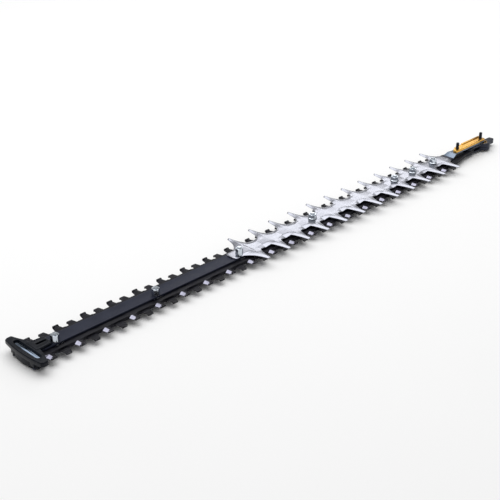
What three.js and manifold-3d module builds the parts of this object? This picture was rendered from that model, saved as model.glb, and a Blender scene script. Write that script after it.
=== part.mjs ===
// Cutter bar of a long double-sided hedge trimmer: two toothed blades that slide against each
// other under a guide bar, a nose guard, a comb-shaped finger guard, a row of guide screws, and
// the rear end with its mounting plate, two studs and the rods that the drive's eccentrics turn in.
//
// Millimetres, +X from the nose to the drive end, +Z up. Stations along X are counted from the
// leading corner of the first upper tooth, and heights from the plane where the blades touch.
// The whole assembly is then moved so that the origin is the bottom centre of its box.
import * as THREE from "three";
import { mergeVertices } from "three/addons/utils/BufferGeometryUtils.js";
import Module from "manifold-3d";

const wasm = await Module();
wasm.setup();

// ---- Driving dimensions ----
const GAP = 0.3; // free space left between faces that touch
const ROUND = 16; // segments of a full turn on small round pieces
const OVERLAP = 3; // how far shapes that are joined run into each other

const BLADE = {
  thickness: 2.2,
  pitch: 38, // from one tooth to the next on the same blade
  teeth: 20, // on each side of each blade
  firstUpperTooth: -3.5,
  rootHalf: 6.4, // half the width of a tooth where it leaves the blade
  tipHalf: 3.7,
  rootY: 16,
  tipY: 27,
  gulletRadius: 3,
  tipRadius: 1.2,
  noseX: -12,
  noseHalf: 12.5,
  shoulderX: 762, // where the full width ends
  neckX: 792,
  neckHalf: 9.5,
  tailX: 821,
  tailHalf: 8,
  travel: 9.5, // each way from the middle of the stroke
};

const BAR = {
  thickness: 2.7,
  half: 9.5,
  noseX: -9,
  joggleX: 757, // where the bar starts to rise over the rods
  joggleLength: 10,
  rise: 4.3,
  rearHalf: 6.2,
  endX: 850,
};

const COMB = {
  thickness: 2,
  fingers: 12,
  firstFinger: 315.5,
  tipY: 37.3,
  tipHalf: 2.6,
  tipCorner: 0.8,
  rootY: 12.2, // half width between two fingers
  rootHalf: 9.6, // half the width of a finger where it leaves the spine
  waist: { x: 5.1, y: 18 }, // control point of a finger's hollow flank
  footX: 296.5, // where the first finger's leading flank starts
  tongueX: 282,
  tongueHalf: 9.4,
  tongueCorner: { x: 5, y: 4 },
  endX: 748,
};

// The three guide screws ahead of the comb stand off the centre line and have tall plain nuts.
const FASTENERS = [
  { x: 13, y: -5, tall: true },
  { x: 155.5, y: -5, tall: true },
  { x: 293.5, y: -5, tall: true },
  { x: 438, y: 0 },
  { x: 620, y: 0 },
  { x: 664, y: 0 },
  { x: 716, y: 0 },
];
const SCREW = { radius: 3, headRadius: 5.5, headHeight: 3.2, socket: 2.3, socketDepth: 1.8, proud: 1.7 };
const HOLE_R = SCREW.radius + GAP;
const SLEEVE_R = 4.1;
const NUT = { flangeRadius: 6.3, flange: 1.4, acrossFlats: 10, height: 6.2 };
const TALL_NUT = { acrossFlats: 8.8, height: 8.6 };
const WASHER = { radius: 8, thickness: 1.6 };

const GUARD = {
  frontX: -28.5,
  bow: 3, // how far the middle of the front edge stands ahead of its ends
  backX: -12,
  wingY: 35,
  wingTipLength: 6,
  top: 8.2,
  wingEnd: 3, // where a wing reaches its full width, behind the end of the bow
  wingCorner: 2, // the bow stops this far inside the wing's end, and the wing's heel has this radius
  fillet: { x: 0.6, y: 8, radius: 6 }, // between a wing and the neck
  neckHalf: 10,
  neckTaper: 1.5,
  neckTop: 8.9,
  slot: { half: 1.8, start: 3.4, endWall: 2.2 },
  recessHalf: 20, // the space cut for the end of the bar
  pocket: { x0: -23, x1: -15.6, half: 24, depth: 3 },
  insertDepth: 1, // from the cap's top down to the insert
  screwX: -23,
  screwY: 18,
};
// The lower jaw is three layers, each a bowed front, two shoulders and a narrower end.
const JAW = {
  bottom: -8,
  wall: 3,
  frontGap: 0.5, // from the front of the cap to the front of the deck
  bow: 4.5,
  half: 25,
  deck: { shoulder: [-14, 24, 3], waist: [-4, 12.5, 6], end: 11.5, endRadius: 6, behindScrew: 9 },
  belly: { half: 22, front: 1.2, bow: 3.5, shoulder: [-14, 19, 4], end: [-5, 8, 3] },
  keel: { half: 16, front: 2.5, bow: 2.25, shoulder: [-15, 13, 4], end: [-6, 7, 3] },
  pillar: { front: -26.5, back: -20.3, half: 3.4, corner: 1 },
  wallInset: 1, // the front wall stops this far inside the deck's ends
};
const GUARD_SCREW = { radius: 1.9, headRadius: 3.6, headHeight: 2.2, socket: 1.25, socketDepth: 1.1 };

const PLATE = {
  startX: 770.5,
  thickness: 3,
  half: 6.2,
  endX: 850,
  corner: 1.5,
  cutX: 12, // the corner cut off at the front, along X and Y
  cutY: 5.5,
  ridgeStart: 800,
  ridgeHeight: 1.5,
  ridgeWidth: 3,
};
const STUD = { radius: 2.5, x: [781, 845.6], top: 22.4 };

const ROD = {
  pinX: 812,
  ringX: 852,
  ringRadius: 13.5,
  boreRadius: 9,
  smallEnd: 7.4,
  armHalf: 5,
  base: 0.2, // height of its underside over the plane where the blades touch
  height: 5.2,
  lapStart: 838, // ahead of this the rod lies only on top of the blade's tail
  lugEnd: 881,
  lugHalf: 4.6,
  lugHeight: 3.4,
};
const PIN_R = 3;
const BUSH = { outer: 8.7, inner: 7.3, inset: 0.2 };

// ---- Levels worked out from them ----
const upperBlade = { z0: GAP / 2, z1: GAP / 2 + BLADE.thickness };
const lowerBlade = { z0: -upperBlade.z1, z1: -upperBlade.z0 };
const barZ = upperBlade.z1 + GAP;
const barTop = barZ + BAR.thickness;
const raisedZ = barZ + BAR.rise;
const raisedTop = barTop + BAR.rise;
const combZ = barTop + GAP;
const combTop = combZ + COMB.thickness;
const washerZ = lowerBlade.z0 - GAP - WASHER.thickness;
const screwSeat = washerZ - GAP;
const screwBottom = screwSeat - SCREW.headHeight;
const guardBase = barZ + 0.2;
const guardScrewSeat = washerZ + 0.4;
const pocketFloor = GUARD.top - GUARD.pocket.depth;
const guardScrewTip = pocketFloor - 1.2;
const plateZ = raisedTop + GAP;
const plateTop = plateZ + PLATE.thickness;
const rodTop = ROD.base + ROD.height;

// ---- Materials ----
const steel = (color, roughness = 0.4, metalness = 0.8) =>
  new THREE.MeshStandardMaterial({ color, roughness, metalness });
const MATERIALS = {
  blade: steel(0x3a3a40, 0.45),
  bar: steel(0x3c3e48, 0.5, 0.4),
  comb: steel(0xd8dae4, 0.3),
  guard: steel(0x2e2e36, 0.4, 0.1),
  insert: steel(0xb9c2d2, 0.25, 0.6),
  zinc: steel(0xd9dde4, 0.3),
  gold: steel(0xe6ad45, 0.35),
  black: steel(0x22252b, 0.45),
  bronze: steel(0xb08a4e, 0.4),
};

// ---- Small helpers ----
// A closed three.js geometry as a manifold-3d solid.
function solid(geometry) {
  const bare = geometry.index ? geometry.toNonIndexed() : geometry.clone();
  bare.deleteAttribute("normal");
  bare.deleteAttribute("uv");
  const merged = mergeVertices(bare, 1e-4);
  return new wasm.Manifold(
    new wasm.Mesh({
      numProp: 3,
      vertProperties: merged.attributes.position.array,
      triVerts: new Uint32Array(merged.index.array),
    }),
  );
}

// A shape in the XY plane, made solid between two heights.
function slab(shape, z0, z1, curveSegments = 6) {
  const geometry = new THREE.ExtrudeGeometry(shape, {
    depth: z1 - z0,
    bevelEnabled: false,
    curveSegments,
  });
  return solid(geometry.translate(0, 0, z0));
}

// A shape drawn as X and Z, made solid across Y between -half and half.
function sideSlab(shape, half) {
  const geometry = new THREE.ExtrudeGeometry(shape, { depth: 2 * half, bevelEnabled: false });
  return solid(geometry.rotateX(Math.PI / 2).translate(0, half, 0));
}

function cylinder(x, y, radius, z0, z1, segments = ROUND) {
  const geometry = new THREE.CylinderGeometry(radius, radius, z1 - z0, segments);
  return solid(geometry.rotateX(Math.PI / 2).translate(x, y, (z0 + z1) / 2));
}

function hexagon(x, y, acrossFlats, z0, z1) {
  return cylinder(x, y, acrossFlats / Math.sqrt(3), z0, z1, 6);
}

function ring(x, y, outer, inner, z0, z1) {
  return cylinder(x, y, outer, z0, z1).subtract(cylinder(x, y, inner, z0 - 1, z1 + 1));
}

// A closed outline through corners [x, y, radius], each rounded by an arc of that radius.
function outline(corners, steps = 4) {
  const points = [];
  corners.forEach(([x, y, radius = 0], i) => {
    const here = new THREE.Vector2(x, y);
    if (radius === 0) {
      points.push(here);
      return;
    }
    const [px, py] = corners[(i + corners.length - 1) % corners.length];
    const [nx, ny] = corners[(i + 1) % corners.length];
    const back = new THREE.Vector2(px, py).sub(here).normalize();
    const ahead = new THREE.Vector2(nx, ny).sub(here).normalize();
    const half = Math.acos(THREE.MathUtils.clamp(back.dot(ahead), -1, 1)) / 2;
    const centre = back.clone().add(ahead).normalize().multiplyScalar(radius / Math.sin(half)).add(here);
    const start = back.multiplyScalar(radius / Math.tan(half)).add(here).sub(centre);
    const end = ahead.multiplyScalar(radius / Math.tan(half)).add(here).sub(centre);
    const sweep = Math.atan2(start.cross(end), start.dot(end));
    for (let k = 0; k <= steps; k++)
      points.push(start.clone().rotateAround(new THREE.Vector2(), (sweep * k) / steps).add(centre));
  });
  return new THREE.Shape(points);
}

// A straight slot with round ends along X or along Y.
function stadium(x0, x1, y0, y1) {
  const radius = Math.min(x1 - x0, y1 - y0) / 2 - 0.01;
  return outline([
    [x0, y0, radius],
    [x1, y0, radius],
    [x1, y1, radius],
    [x0, y1, radius],
  ]);
}

function rectangle(x0, x1, half) {
  return outline([
    [x0, -half],
    [x1, -half],
    [x1, half],
    [x0, half],
  ]);
}

const mirrored = (corners) => corners.map(([x, y, r]) => [x, -y, r]).reverse();

const root = new THREE.Group();
const assembly = new THREE.Group();
root.add(assembly);

function add(name, body, material) {
  const made = body.getMesh();
  const geometry = new THREE.BufferGeometry();
  geometry.setAttribute("position", new THREE.BufferAttribute(new Float32Array(made.vertProperties), 3));
  geometry.setIndex(new THREE.BufferAttribute(new Uint32Array(made.triVerts), 1));
  const mesh = new THREE.Mesh(geometry, material);
  mesh.name = name;
  assembly.add(mesh);
}

// ---- The two blades ----
// The corners of the +Y edge, from the nose to the drive end.
function toothedEdge(firstTooth) {
  const corners = [];
  for (let k = 0; k < BLADE.teeth; k++) {
    const x = firstTooth + k * BLADE.pitch;
    const { rootHalf, tipHalf, rootY, tipY, gulletRadius, tipRadius } = BLADE;
    corners.push([x - rootHalf, rootY, gulletRadius], [x - tipHalf, tipY, tipRadius]);
    corners.push([x + tipHalf, tipY, tipRadius], [x + rootHalf, rootY, gulletRadius]);
  }
  return corners;
}

function blade(firstTooth, { z0, z1 }) {
  const edge = [
    [BLADE.noseX, BLADE.noseHalf, 4],
    ...toothedEdge(firstTooth),
    [BLADE.shoulderX, BLADE.rootY, 6],
    [BLADE.neckX, BLADE.neckHalf, 14],
    [BLADE.tailX, BLADE.tailHalf, 7.5],
  ];
  let body = slab(outline([...edge, ...mirrored(edge)].reverse(), 2), z0, z1);
  const reach = BLADE.travel + SLEEVE_R + GAP;
  for (const { x, y } of FASTENERS) {
    const slot = stadium(x - reach, x + reach, y - SLEEVE_R - GAP, y + SLEEVE_R + GAP);
    body = body.subtract(slab(slot, z0 - 1, z1 + 1));
  }
  return body.subtract(cylinder(ROD.pinX, 0, PIN_R + GAP, z0 - 1, z1 + 1));
}

add("upper_blade", blade(BLADE.firstUpperTooth, upperBlade), MATERIALS.blade);
add("lower_blade", blade(BLADE.firstUpperTooth + BLADE.pitch / 2, lowerBlade), MATERIALS.blade);

// ---- Guide bar, with its rear end raised over the rods ----
function guideBar() {
  const joggleEnd = BAR.joggleX + BAR.joggleLength;
  const side = outline([
    [BAR.noseX, barZ],
    [BAR.joggleX, barZ],
    [joggleEnd, raisedZ],
    [BAR.endX, raisedZ],
    [BAR.endX, raisedTop],
    [joggleEnd, raisedTop],
    [BAR.joggleX, barTop],
    [BAR.noseX, barTop],
  ]);
  const edge = [
    [BAR.noseX, BAR.half, 5],
    [BAR.joggleX + 2, BAR.half, 3],
    [joggleEnd + 4, BAR.rearHalf, 3],
    [BAR.endX, BAR.rearHalf, 2],
  ];
  const plan = outline([...edge, ...mirrored(edge)].reverse());
  let body = sideSlab(side, BAR.half).intersect(slab(plan, 0, raisedTop + 1));
  for (const { x, y } of FASTENERS) body = body.subtract(cylinder(x, y, HOLE_R, 0, raisedTop + 1));
  for (const x of STUD.x) body = body.subtract(cylinder(x, 0, STUD.radius + GAP, 0, raisedTop + 1));
  return body;
}
add("guide_bar", guideBar(), MATERIALS.bar);

// ---- Comb-shaped finger guard ----
function combGuard() {
  const { pitch } = BLADE;
  const { firstFinger, tipY, tipHalf, tipCorner, rootY, rootHalf, waist, footX, endX } = COMB;
  const { tongueX, tongueHalf, tongueCorner } = COMB;
  const last = firstFinger + (COMB.fingers - 1) * pitch;
  const shape = new THREE.Shape();
  // One side's fingers, with side -1 or 1 for its Y and step 1 or -1 for the way along X.
  const fingers = (side, step) => {
    for (let k = 0; k < COMB.fingers; k++) {
      const x = step > 0 ? firstFinger + k * pitch : last - k * pitch;
      const before = step > 0 && k === 0 ? [footX, side * tongueHalf] : [x - step * rootHalf, side * rootY];
      const after = step < 0 && k === COMB.fingers - 1 ? [footX, tongueHalf] : [x + step * rootHalf, side * rootY];
      shape.lineTo(...before);
      shape.quadraticCurveTo(x - step * waist.x, side * waist.y, x - step * tipHalf, side * (tipY - tipCorner));
      shape.lineTo(x - step * (tipHalf - tipCorner), side * tipY);
      shape.lineTo(x + step * (tipHalf - tipCorner), side * tipY);
      shape.lineTo(x + step * tipHalf, side * (tipY - tipCorner));
      shape.quadraticCurveTo(x + step * waist.x, side * waist.y, ...after);
    }
  };
  shape.moveTo(tongueX, -tongueHalf + tongueCorner.y);
  shape.quadraticCurveTo(tongueX, -tongueHalf, tongueX + tongueCorner.x, -tongueHalf);
  fingers(-1, 1);
  shape.lineTo(endX, -rootY);
  shape.lineTo(endX, rootY);
  fingers(1, -1);
  shape.lineTo(tongueX + tongueCorner.x, tongueHalf);
  shape.quadraticCurveTo(tongueX, tongueHalf, tongueX, tongueHalf - tongueCorner.y);
  let body = slab(shape, combZ, combTop, 4);
  for (const { x, y } of FASTENERS)
    if (x > COMB.tongueX) body = body.subtract(cylinder(x, y, HOLE_R, combZ - 1, combTop + 1));
  return body;
}
add("comb_guard", combGuard(), MATERIALS.comb);

// ---- Nose guard: an upper cap with a long pocket, and a lower jaw ----
// The front edge bows forward between its two ends, as a parabola.
function bowedFront(half, x, bow, steps = 8) {
  const points = [];
  for (let k = 0; k <= steps; k++) {
    const t = (2 * k) / steps - 1;
    points.push([x + bow * t * t, half * t]);
  }
  return points;
}

function guardUpper() {
  const { frontX, bow, backX, wingY, wingEnd, wingCorner, wingTipLength, fillet } = GUARD;
  const { top, neckHalf, neckTaper, neckTop, slot, recessHalf, pocket } = GUARD;
  const neckEnd = FASTENERS[0].x - TALL_NUT.acrossFlats / Math.sqrt(3) - 2 * GAP;
  const neckStart = backX + OVERLAP;
  const tipFront = frontX + bow + wingEnd;
  const flank = [
    [tipFront, wingY],
    [tipFront + wingTipLength, wingY, wingCorner],
    [backX + fillet.x, neckHalf + fillet.y, fillet.radius],
    [neckStart, neckHalf],
  ];
  const cap = outline([...bowedFront(wingY - wingCorner, frontX, bow), ...flank, ...mirrored(flank)].reverse());
  const neck = outline([
    [backX - OVERLAP, -neckHalf],
    [neckEnd, -neckHalf + neckTaper, wingCorner],
    [neckEnd, neckHalf - neckTaper, wingCorner],
    [backX - OVERLAP, neckHalf],
  ]);
  const recess = rectangle(BAR.noseX - GAP, neckEnd + OVERLAP, recessHalf);
  let body = slab(cap, guardBase, top).subtract(slab(recess, 0, combZ));
  body = body.add(slab(neck, combZ, neckTop));
  const opening = stadium(backX + slot.start, neckEnd - slot.endWall, -slot.half, slot.half);
  body = body.subtract(slab(opening, combZ - 1, neckTop + 1));
  body = body.subtract(slab(stadium(pocket.x0, pocket.x1, -pocket.half, pocket.half), pocketFloor, top + 1));
  for (const y of [-GUARD.screwY, GUARD.screwY])
    body = body.subtract(cylinder(GUARD.screwX, y, GUARD_SCREW.radius + GAP, 0, guardScrewTip + GAP, 12));
  return body;
}
add("tip_guard_upper", guardUpper(), MATERIALS.guard);

function jawLayer({ half, front, bow, shoulder, end }, z0, z1) {
  const side = [shoulder, end];
  const points = [...bowedFront(half, GUARD.frontX + front, bow), ...side, ...mirrored(side)];
  return slab(outline(points.reverse()), z0, z1);
}

function guardLower() {
  const { bottom, wall, frontGap, bow, half, deck, belly, keel, pillar, wallInset } = JAW;
  const { screwX, screwY } = GUARD;
  const front = GUARD.frontX + frontGap;
  const jawTop = lowerBlade.z0 - GAP;
  const wallTop = guardBase - GAP;
  const mid = (washerZ + bottom) / 2;
  const side = [deck.shoulder, deck.waist, [FASTENERS[0].x + deck.behindScrew, deck.end, deck.endRadius]];
  const deckShape = outline([...bowedFront(half, front, bow), ...side, ...mirrored(side)].reverse());
  let body = slab(deckShape, washerZ, jawTop);
  body = body.add(jawLayer(belly, mid, washerZ)).add(jawLayer(keel, bottom, mid));
  // The front wall rises past the blades' noses, with a pillar for each screw.
  const outer = bowedFront(half - wallInset, front, bow);
  const inner = bowedFront(half - wallInset, front + wall, bow).reverse();
  body = body.add(slab(outline([...outer, ...inner].reverse()), jawTop, wallTop));
  for (const y of [-screwY, screwY]) {
    const post = outline([
      [pillar.front, y - pillar.half],
      [pillar.back, y - pillar.half, pillar.corner],
      [pillar.back, y + pillar.half, pillar.corner],
      [pillar.front, y + pillar.half],
    ]);
    body = body.add(slab(post, jawTop, wallTop));
    body = body.subtract(cylinder(screwX, y, GUARD_SCREW.radius + GAP, bottom - 1, wallTop + 1, 12));
    body = body.subtract(cylinder(screwX, y, GUARD_SCREW.headRadius + GAP, bottom - 1, guardScrewSeat));
  }
  return body.subtract(cylinder(FASTENERS[0].x, FASTENERS[0].y, HOLE_R, bottom - 1, jawTop + 1));
}
add("tip_guard_lower", guardLower(), MATERIALS.guard);

const { x0: pocketX0, x1: pocketX1, half: pocketHalf } = GUARD.pocket;
add(
  "tip_guard_insert",
  slab(
    stadium(pocketX0 + GAP, pocketX1 - GAP, -pocketHalf + GAP, pocketHalf - GAP),
    pocketFloor + GAP,
    GUARD.top - GUARD.insertDepth,
  ),
  MATERIALS.insert,
);

for (const [side, y] of [["left", GUARD.screwY], ["right", -GUARD.screwY]]) {
  const { radius, headRadius, headHeight, socket: socketHalf, socketDepth } = GUARD_SCREW;
  const headTop = guardScrewSeat - GAP;
  const headBottom = headTop - headHeight;
  const shank = cylinder(GUARD.screwX, y, radius, headTop - 1, guardScrewTip, 12);
  const head = cylinder(GUARD.screwX, y, headRadius, headBottom, headTop);
  const socket = hexagon(GUARD.screwX, y, 2 * socketHalf, headBottom - 1, headBottom + socketDepth);
  add(`tip_guard_screw_${side}`, head.add(shank).subtract(socket), MATERIALS.black);
}

// ---- Guide screws, each with its sleeve, washer and flange nut ----
function nut(x, y, seat, tall) {
  if (tall) return hexagon(x, y, TALL_NUT.acrossFlats, seat, seat + TALL_NUT.height);
  const hex = hexagon(x, y, NUT.acrossFlats, seat + NUT.flange / 2, seat + NUT.height);
  return cylinder(x, y, NUT.flangeRadius, seat, seat + NUT.flange).add(hex);
}

FASTENERS.forEach(({ x, y, tall }, i) => {
  const n = i + 1;
  const seat = (x > COMB.tongueX ? combTop : barTop) + GAP;
  const top = seat + (tall ? TALL_NUT : NUT).height;
  const head = cylinder(x, y, SCREW.headRadius, screwBottom, screwSeat);
  const shank = cylinder(x, y, SCREW.radius, screwSeat - 1, top + SCREW.proud);
  const socket = hexagon(x, y, 2 * SCREW.socket, screwBottom - 1, screwBottom + SCREW.socketDepth);
  add(`bar_screw_${n}`, head.add(shank).subtract(socket), MATERIALS.zinc);
  add(`bar_nut_${n}`, nut(x, y, seat, tall).subtract(cylinder(x, y, HOLE_R, seat - 1, top + 1)), MATERIALS.zinc);
  add(`guide_sleeve_${n}`, ring(x, y, SLEEVE_R, HOLE_R, lowerBlade.z0, upperBlade.z1), MATERIALS.zinc);
  if (i > 0)
    add(`bar_washer_${n}`, ring(x, y, WASHER.radius, HOLE_R, washerZ, washerZ + WASHER.thickness), MATERIALS.zinc);
});

// ---- Mounting plate and studs ----
function mountPlate() {
  const { startX, half, endX, corner, cutX, cutY, ridgeStart, ridgeHeight, ridgeWidth } = PLATE;
  const plan = outline([
    [startX, -half, corner],
    [endX, -half, corner],
    [endX, half, corner],
    [startX + cutX, half, 2 * corner],
    [startX, half - cutY, 2 * corner],
  ]);
  const ridge = rectangle(ridgeStart, endX - corner, ridgeWidth / 2);
  const strip = slab(ridge, plateTop - 0.5, plateTop + ridgeHeight).translate([0, half - ridgeWidth / 2, 0]);
  let body = slab(plan, plateZ, plateTop).add(strip);
  for (const x of STUD.x) body = body.subtract(cylinder(x, 0, STUD.radius + GAP, 0, plateTop + 5));
  return body;
}
add("mount_plate", mountPlate(), MATERIALS.gold);

["front", "rear"].forEach((place, i) => {
  add(`mount_stud_${place}`, cylinder(STUD.x[i], 0, STUD.radius, raisedZ, STUD.top), MATERIALS.black);
});

// ---- Drive rods: turn = 1 for the upper one, -1 for the lower one, which lies the other way up ----
function rod(turn) {
  const span = (a, b) => (turn > 0 ? [a, b] : [-b, -a]);
  const { base } = ROD;
  const lapZ = upperBlade.z1 + GAP;
  const arm = outline([
    [ROD.pinX, -ROD.armHalf],
    [ROD.ringX, -ROD.armHalf - 2],
    [ROD.ringX, ROD.armHalf + 2],
    [ROD.pinX, ROD.armHalf],
  ]);
  const lug = outline([
    [ROD.ringX, -ROD.lugHalf],
    [ROD.lugEnd, -ROD.lugHalf, 1.5],
    [ROD.lugEnd, ROD.lugHalf, 1.5],
    [ROD.ringX, ROD.lugHalf],
  ]);
  const behindTail = outline([
    [ROD.lapStart, -40],
    [ROD.lugEnd + 10, -40],
    [ROD.lugEnd + 10, 40],
    [ROD.lapStart, 40],
  ]);
  let body = cylinder(ROD.ringX, 0, ROD.ringRadius, ...span(base, rodTop), 36);
  body = body.intersect(slab(behindTail, -20, 20));
  body = body.add(cylinder(ROD.pinX, 0, ROD.smallEnd, ...span(lapZ, rodTop), 24));
  body = body.add(slab(arm, ...span(lapZ, rodTop)));
  body = body.add(slab(lug, ...span(base, base + ROD.lugHeight)));
  body = body.subtract(cylinder(ROD.ringX, 0, ROD.boreRadius, -20, 20, 32));
  return body.subtract(cylinder(ROD.pinX, 0, PIN_R + GAP, -20, 20));
}

for (const [side, turn] of [["upper", 1], ["lower", -1]]) {
  const span = (a, b) => (turn > 0 ? [a, b] : [-b, -a]);
  add(`${side}_rod`, rod(turn), MATERIALS.black);
  add(`${side}_rod_pin`, cylinder(ROD.pinX, 0, PIN_R, ...span(ROD.base, rodTop)), MATERIALS.zinc);
  const bushSpan = span(ROD.base + BUSH.inset, rodTop - BUSH.inset);
  add(`${side}_rod_bush`, ring(ROD.ringX, 0, BUSH.outer, BUSH.inner, ...bushSpan), MATERIALS.bronze);
}

// ---- Origin at the bottom centre of the box ----
assembly.updateMatrixWorld(true);
const box = new THREE.Box3().setFromObject(assembly);
assembly.position.set(-(box.min.x + box.max.x) / 2, 0, -box.min.z);

export default root;
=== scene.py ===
"""Cutter bar of a long double-sided hedge trimmer: its looks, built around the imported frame.

Shapes are worked out in millimetres. X counts from the leading corner of the first upper tooth, Y from the
bar's centre line and Z from the plane where the two blades touch. Datum turns that into the frame's metres.
"""

from __future__ import annotations

import logging
import math
from collections.abc import Callable, Iterator, Sequence
from contextlib import contextmanager
from dataclasses import dataclass, field
from enum import Enum
from typing import Any

import bmesh
import bpy
from mathutils import Matrix, Vector

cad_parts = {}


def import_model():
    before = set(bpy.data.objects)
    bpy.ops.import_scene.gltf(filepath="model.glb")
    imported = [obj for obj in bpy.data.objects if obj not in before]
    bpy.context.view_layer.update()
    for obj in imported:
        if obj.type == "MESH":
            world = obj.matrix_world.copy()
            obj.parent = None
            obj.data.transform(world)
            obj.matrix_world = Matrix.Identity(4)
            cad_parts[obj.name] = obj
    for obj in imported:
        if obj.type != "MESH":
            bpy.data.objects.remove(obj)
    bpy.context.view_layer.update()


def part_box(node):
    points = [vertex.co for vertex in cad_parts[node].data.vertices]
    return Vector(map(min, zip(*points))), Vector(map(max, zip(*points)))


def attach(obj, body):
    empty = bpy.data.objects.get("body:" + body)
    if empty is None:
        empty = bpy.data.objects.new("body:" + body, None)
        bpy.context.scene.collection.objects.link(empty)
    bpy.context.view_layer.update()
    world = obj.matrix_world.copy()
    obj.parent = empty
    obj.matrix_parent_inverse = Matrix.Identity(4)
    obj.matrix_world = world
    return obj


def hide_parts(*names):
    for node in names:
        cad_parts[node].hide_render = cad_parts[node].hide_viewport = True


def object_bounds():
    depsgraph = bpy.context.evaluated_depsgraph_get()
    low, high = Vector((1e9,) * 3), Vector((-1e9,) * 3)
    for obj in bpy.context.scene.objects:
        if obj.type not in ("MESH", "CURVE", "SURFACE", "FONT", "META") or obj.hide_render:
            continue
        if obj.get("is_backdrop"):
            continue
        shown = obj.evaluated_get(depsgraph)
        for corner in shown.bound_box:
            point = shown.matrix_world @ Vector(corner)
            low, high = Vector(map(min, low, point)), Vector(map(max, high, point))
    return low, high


log = logging.getLogger("cutter_bar")

MM = 0.001
BUMP_STRENGTH = 0.6
ARC_GAP = 0.01  # keeps the two arcs of a round end from sharing a point

Point = tuple[float, float]
Corner = tuple[float, float, float]


# ---------------------------------------------------------------- shader building


class Value:
    """A node's output that Python's operators work on."""

    def __init__(self, shader: Shader, socket: bpy.types.NodeSocket) -> None:
        """Keep the socket and the shader that its new nodes go into."""
        self.shader = shader
        self.socket = socket

    def _math(self, operation: str, first: Any, second: Any = None) -> Value:
        """Add a Math node.

        Args:
            operation: the Math node's operation.
            first: the value or number on its first socket.
            second: the value or number on its second socket, if it has one.

        Returns:
            The node's result.
        """
        inputs = {0: first} if second is None else {0: first, 1: second}
        return self.shader.node("ShaderNodeMath", {"operation": operation}, inputs)

    def __add__(self, other: Any) -> Value:
        """self + other."""
        return self._math("ADD", self, other)

    __radd__ = __add__

    def __sub__(self, other: Any) -> Value:
        """self - other."""
        return self._math("SUBTRACT", self, other)

    def __rsub__(self, other: Any) -> Value:
        """other - self."""
        return self._math("SUBTRACT", other, self)

    def __mul__(self, other: Any) -> Value:
        """self * other."""
        return self._math("MULTIPLY", self, other)

    __rmul__ = __mul__

    def __abs__(self) -> Value:
        """abs(self)."""
        return self._math("ABSOLUTE", self)

    def ramp(self, low: float, high: float, start: float = 0.0, end: float = 1.0) -> Value:
        """Turn low..high smoothly into start..end, flat outside it.

        Args:
            low: the value that gives start.
            high: the value that gives end.
            start: the result at low.
            end: the result at high.

        Returns:
            The eased value.
        """
        inputs = {"Value": self, 1: low, 2: high, 3: start, 4: end}
        return self.shader.node("ShaderNodeMapRange", {"interpolation_type": "SMOOTHSTEP"}, inputs)


class Shader:
    """A material whose nodes come from one method."""

    def __init__(self, name: str) -> None:
        """Start a material with a Principled shader and Object coordinates.

        Args:
            name: the material's name.
        """
        self.material = bpy.data.materials.new(name)
        self.material.use_nodes = True
        self.tree = self.material.node_tree
        self.surface = self.tree.nodes["Principled BSDF"]
        self.place = self.node("ShaderNodeTexCoord", output="Object")

    def node(
        self,
        kind: str,
        settings: dict[str, Any] | None = None,
        inputs: dict[str | int, Any] | None = None,
        output: str | int = 0,
    ) -> Value:
        """Add a node: its settings first, then what its sockets hold.

        Args:
            kind: the node's Blender type.
            settings: attributes of the node.
            inputs: a number, colour or Value for each socket, by name or index.
            output: the name or index of the output wanted.

        Returns:
            That output.
        """
        made = self.tree.nodes.new(kind)
        for key, setting in (settings or {}).items():
            setattr(made, key, setting)
        for key, value in (inputs or {}).items():
            self.feed(made.inputs[key], value)
        return Value(self, made.outputs[output])

    def feed(self, socket: bpy.types.NodeSocket, value: Any) -> None:
        """Link a Value to a socket, or set the socket to a constant.

        Args:
            socket: an input of a node in this material.
            value: what it gets.
        """
        if isinstance(value, Value):
            self.tree.links.new(value.socket, socket)
        else:
            socket.default_value = value

    def set(self, **sockets: Any) -> None:
        """Feed the Principled shader, with underscores for the spaces in socket names."""
        for key, value in sockets.items():
            self.feed(self.surface.inputs[key.replace("_", " ")], value)

    def stretched(self, scale: tuple[float, float, float]) -> Value:
        """Give Object coordinates multiplied by a scale along each axis."""
        return self.node("ShaderNodeMapping", None, {"Vector": self.place, "Scale": scale})

    def noise(
        self, scale: float, detail: float = 3.0, along: tuple[float, float, float] | None = None
    ) -> Value:
        """Add a noise pattern.

        Args:
            scale: lumps in a metre.
            detail: how many finer octaves lie on it.
            along: a stretch of the coordinates, for lines instead of lumps.

        Returns:
            Its value from 0 to 1.
        """
        where = self.stretched(along) if along else self.place
        return self.node("ShaderNodeTexNoise", None, {"Vector": where, "Scale": scale, "Detail": detail})

    def cells(self, scale: float) -> Value:
        """Add a random grey for each cell of a Voronoi pattern, as crystals of zinc have."""
        colour = self.node("ShaderNodeTexVoronoi", None, {"Vector": self.place, "Scale": scale}, "Color")
        return self.node("ShaderNodeSeparateColor", None, {"Color": colour}, "Red")

    def across(self, axis: str) -> Value:
        """Give one Object coordinate, "X", "Y" or "Z"."""
        return self.node("ShaderNodeSeparateXYZ", None, {"Vector": self.place}, axis)

    def mix(self, factor: Any, dark: Sequence[float], light: Any) -> Value:
        """Mix two colours.

        Args:
            factor: how much of the second colour shows.
            dark: the first colour, as three numbers or a Value.
            light: the second colour, as three numbers or a Value.

        Returns:
            The mixed colour.
        """
        inputs = {0: factor, 6: opaque(dark), 7: opaque(light)}
        return self.node("ShaderNodeMix", {"data_type": "RGBA"}, inputs, 2)

    def bump(self, height: Value, depth: float) -> Value:
        """Add a Bump node.

        Args:
            height: the pattern, from 0 to 1.
            depth: its height in metres.

        Returns:
            The normal.
        """
        inputs = {"Height": height, "Distance": depth, "Strength": BUMP_STRENGTH}
        return self.node("ShaderNodeBump", None, inputs)


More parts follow.
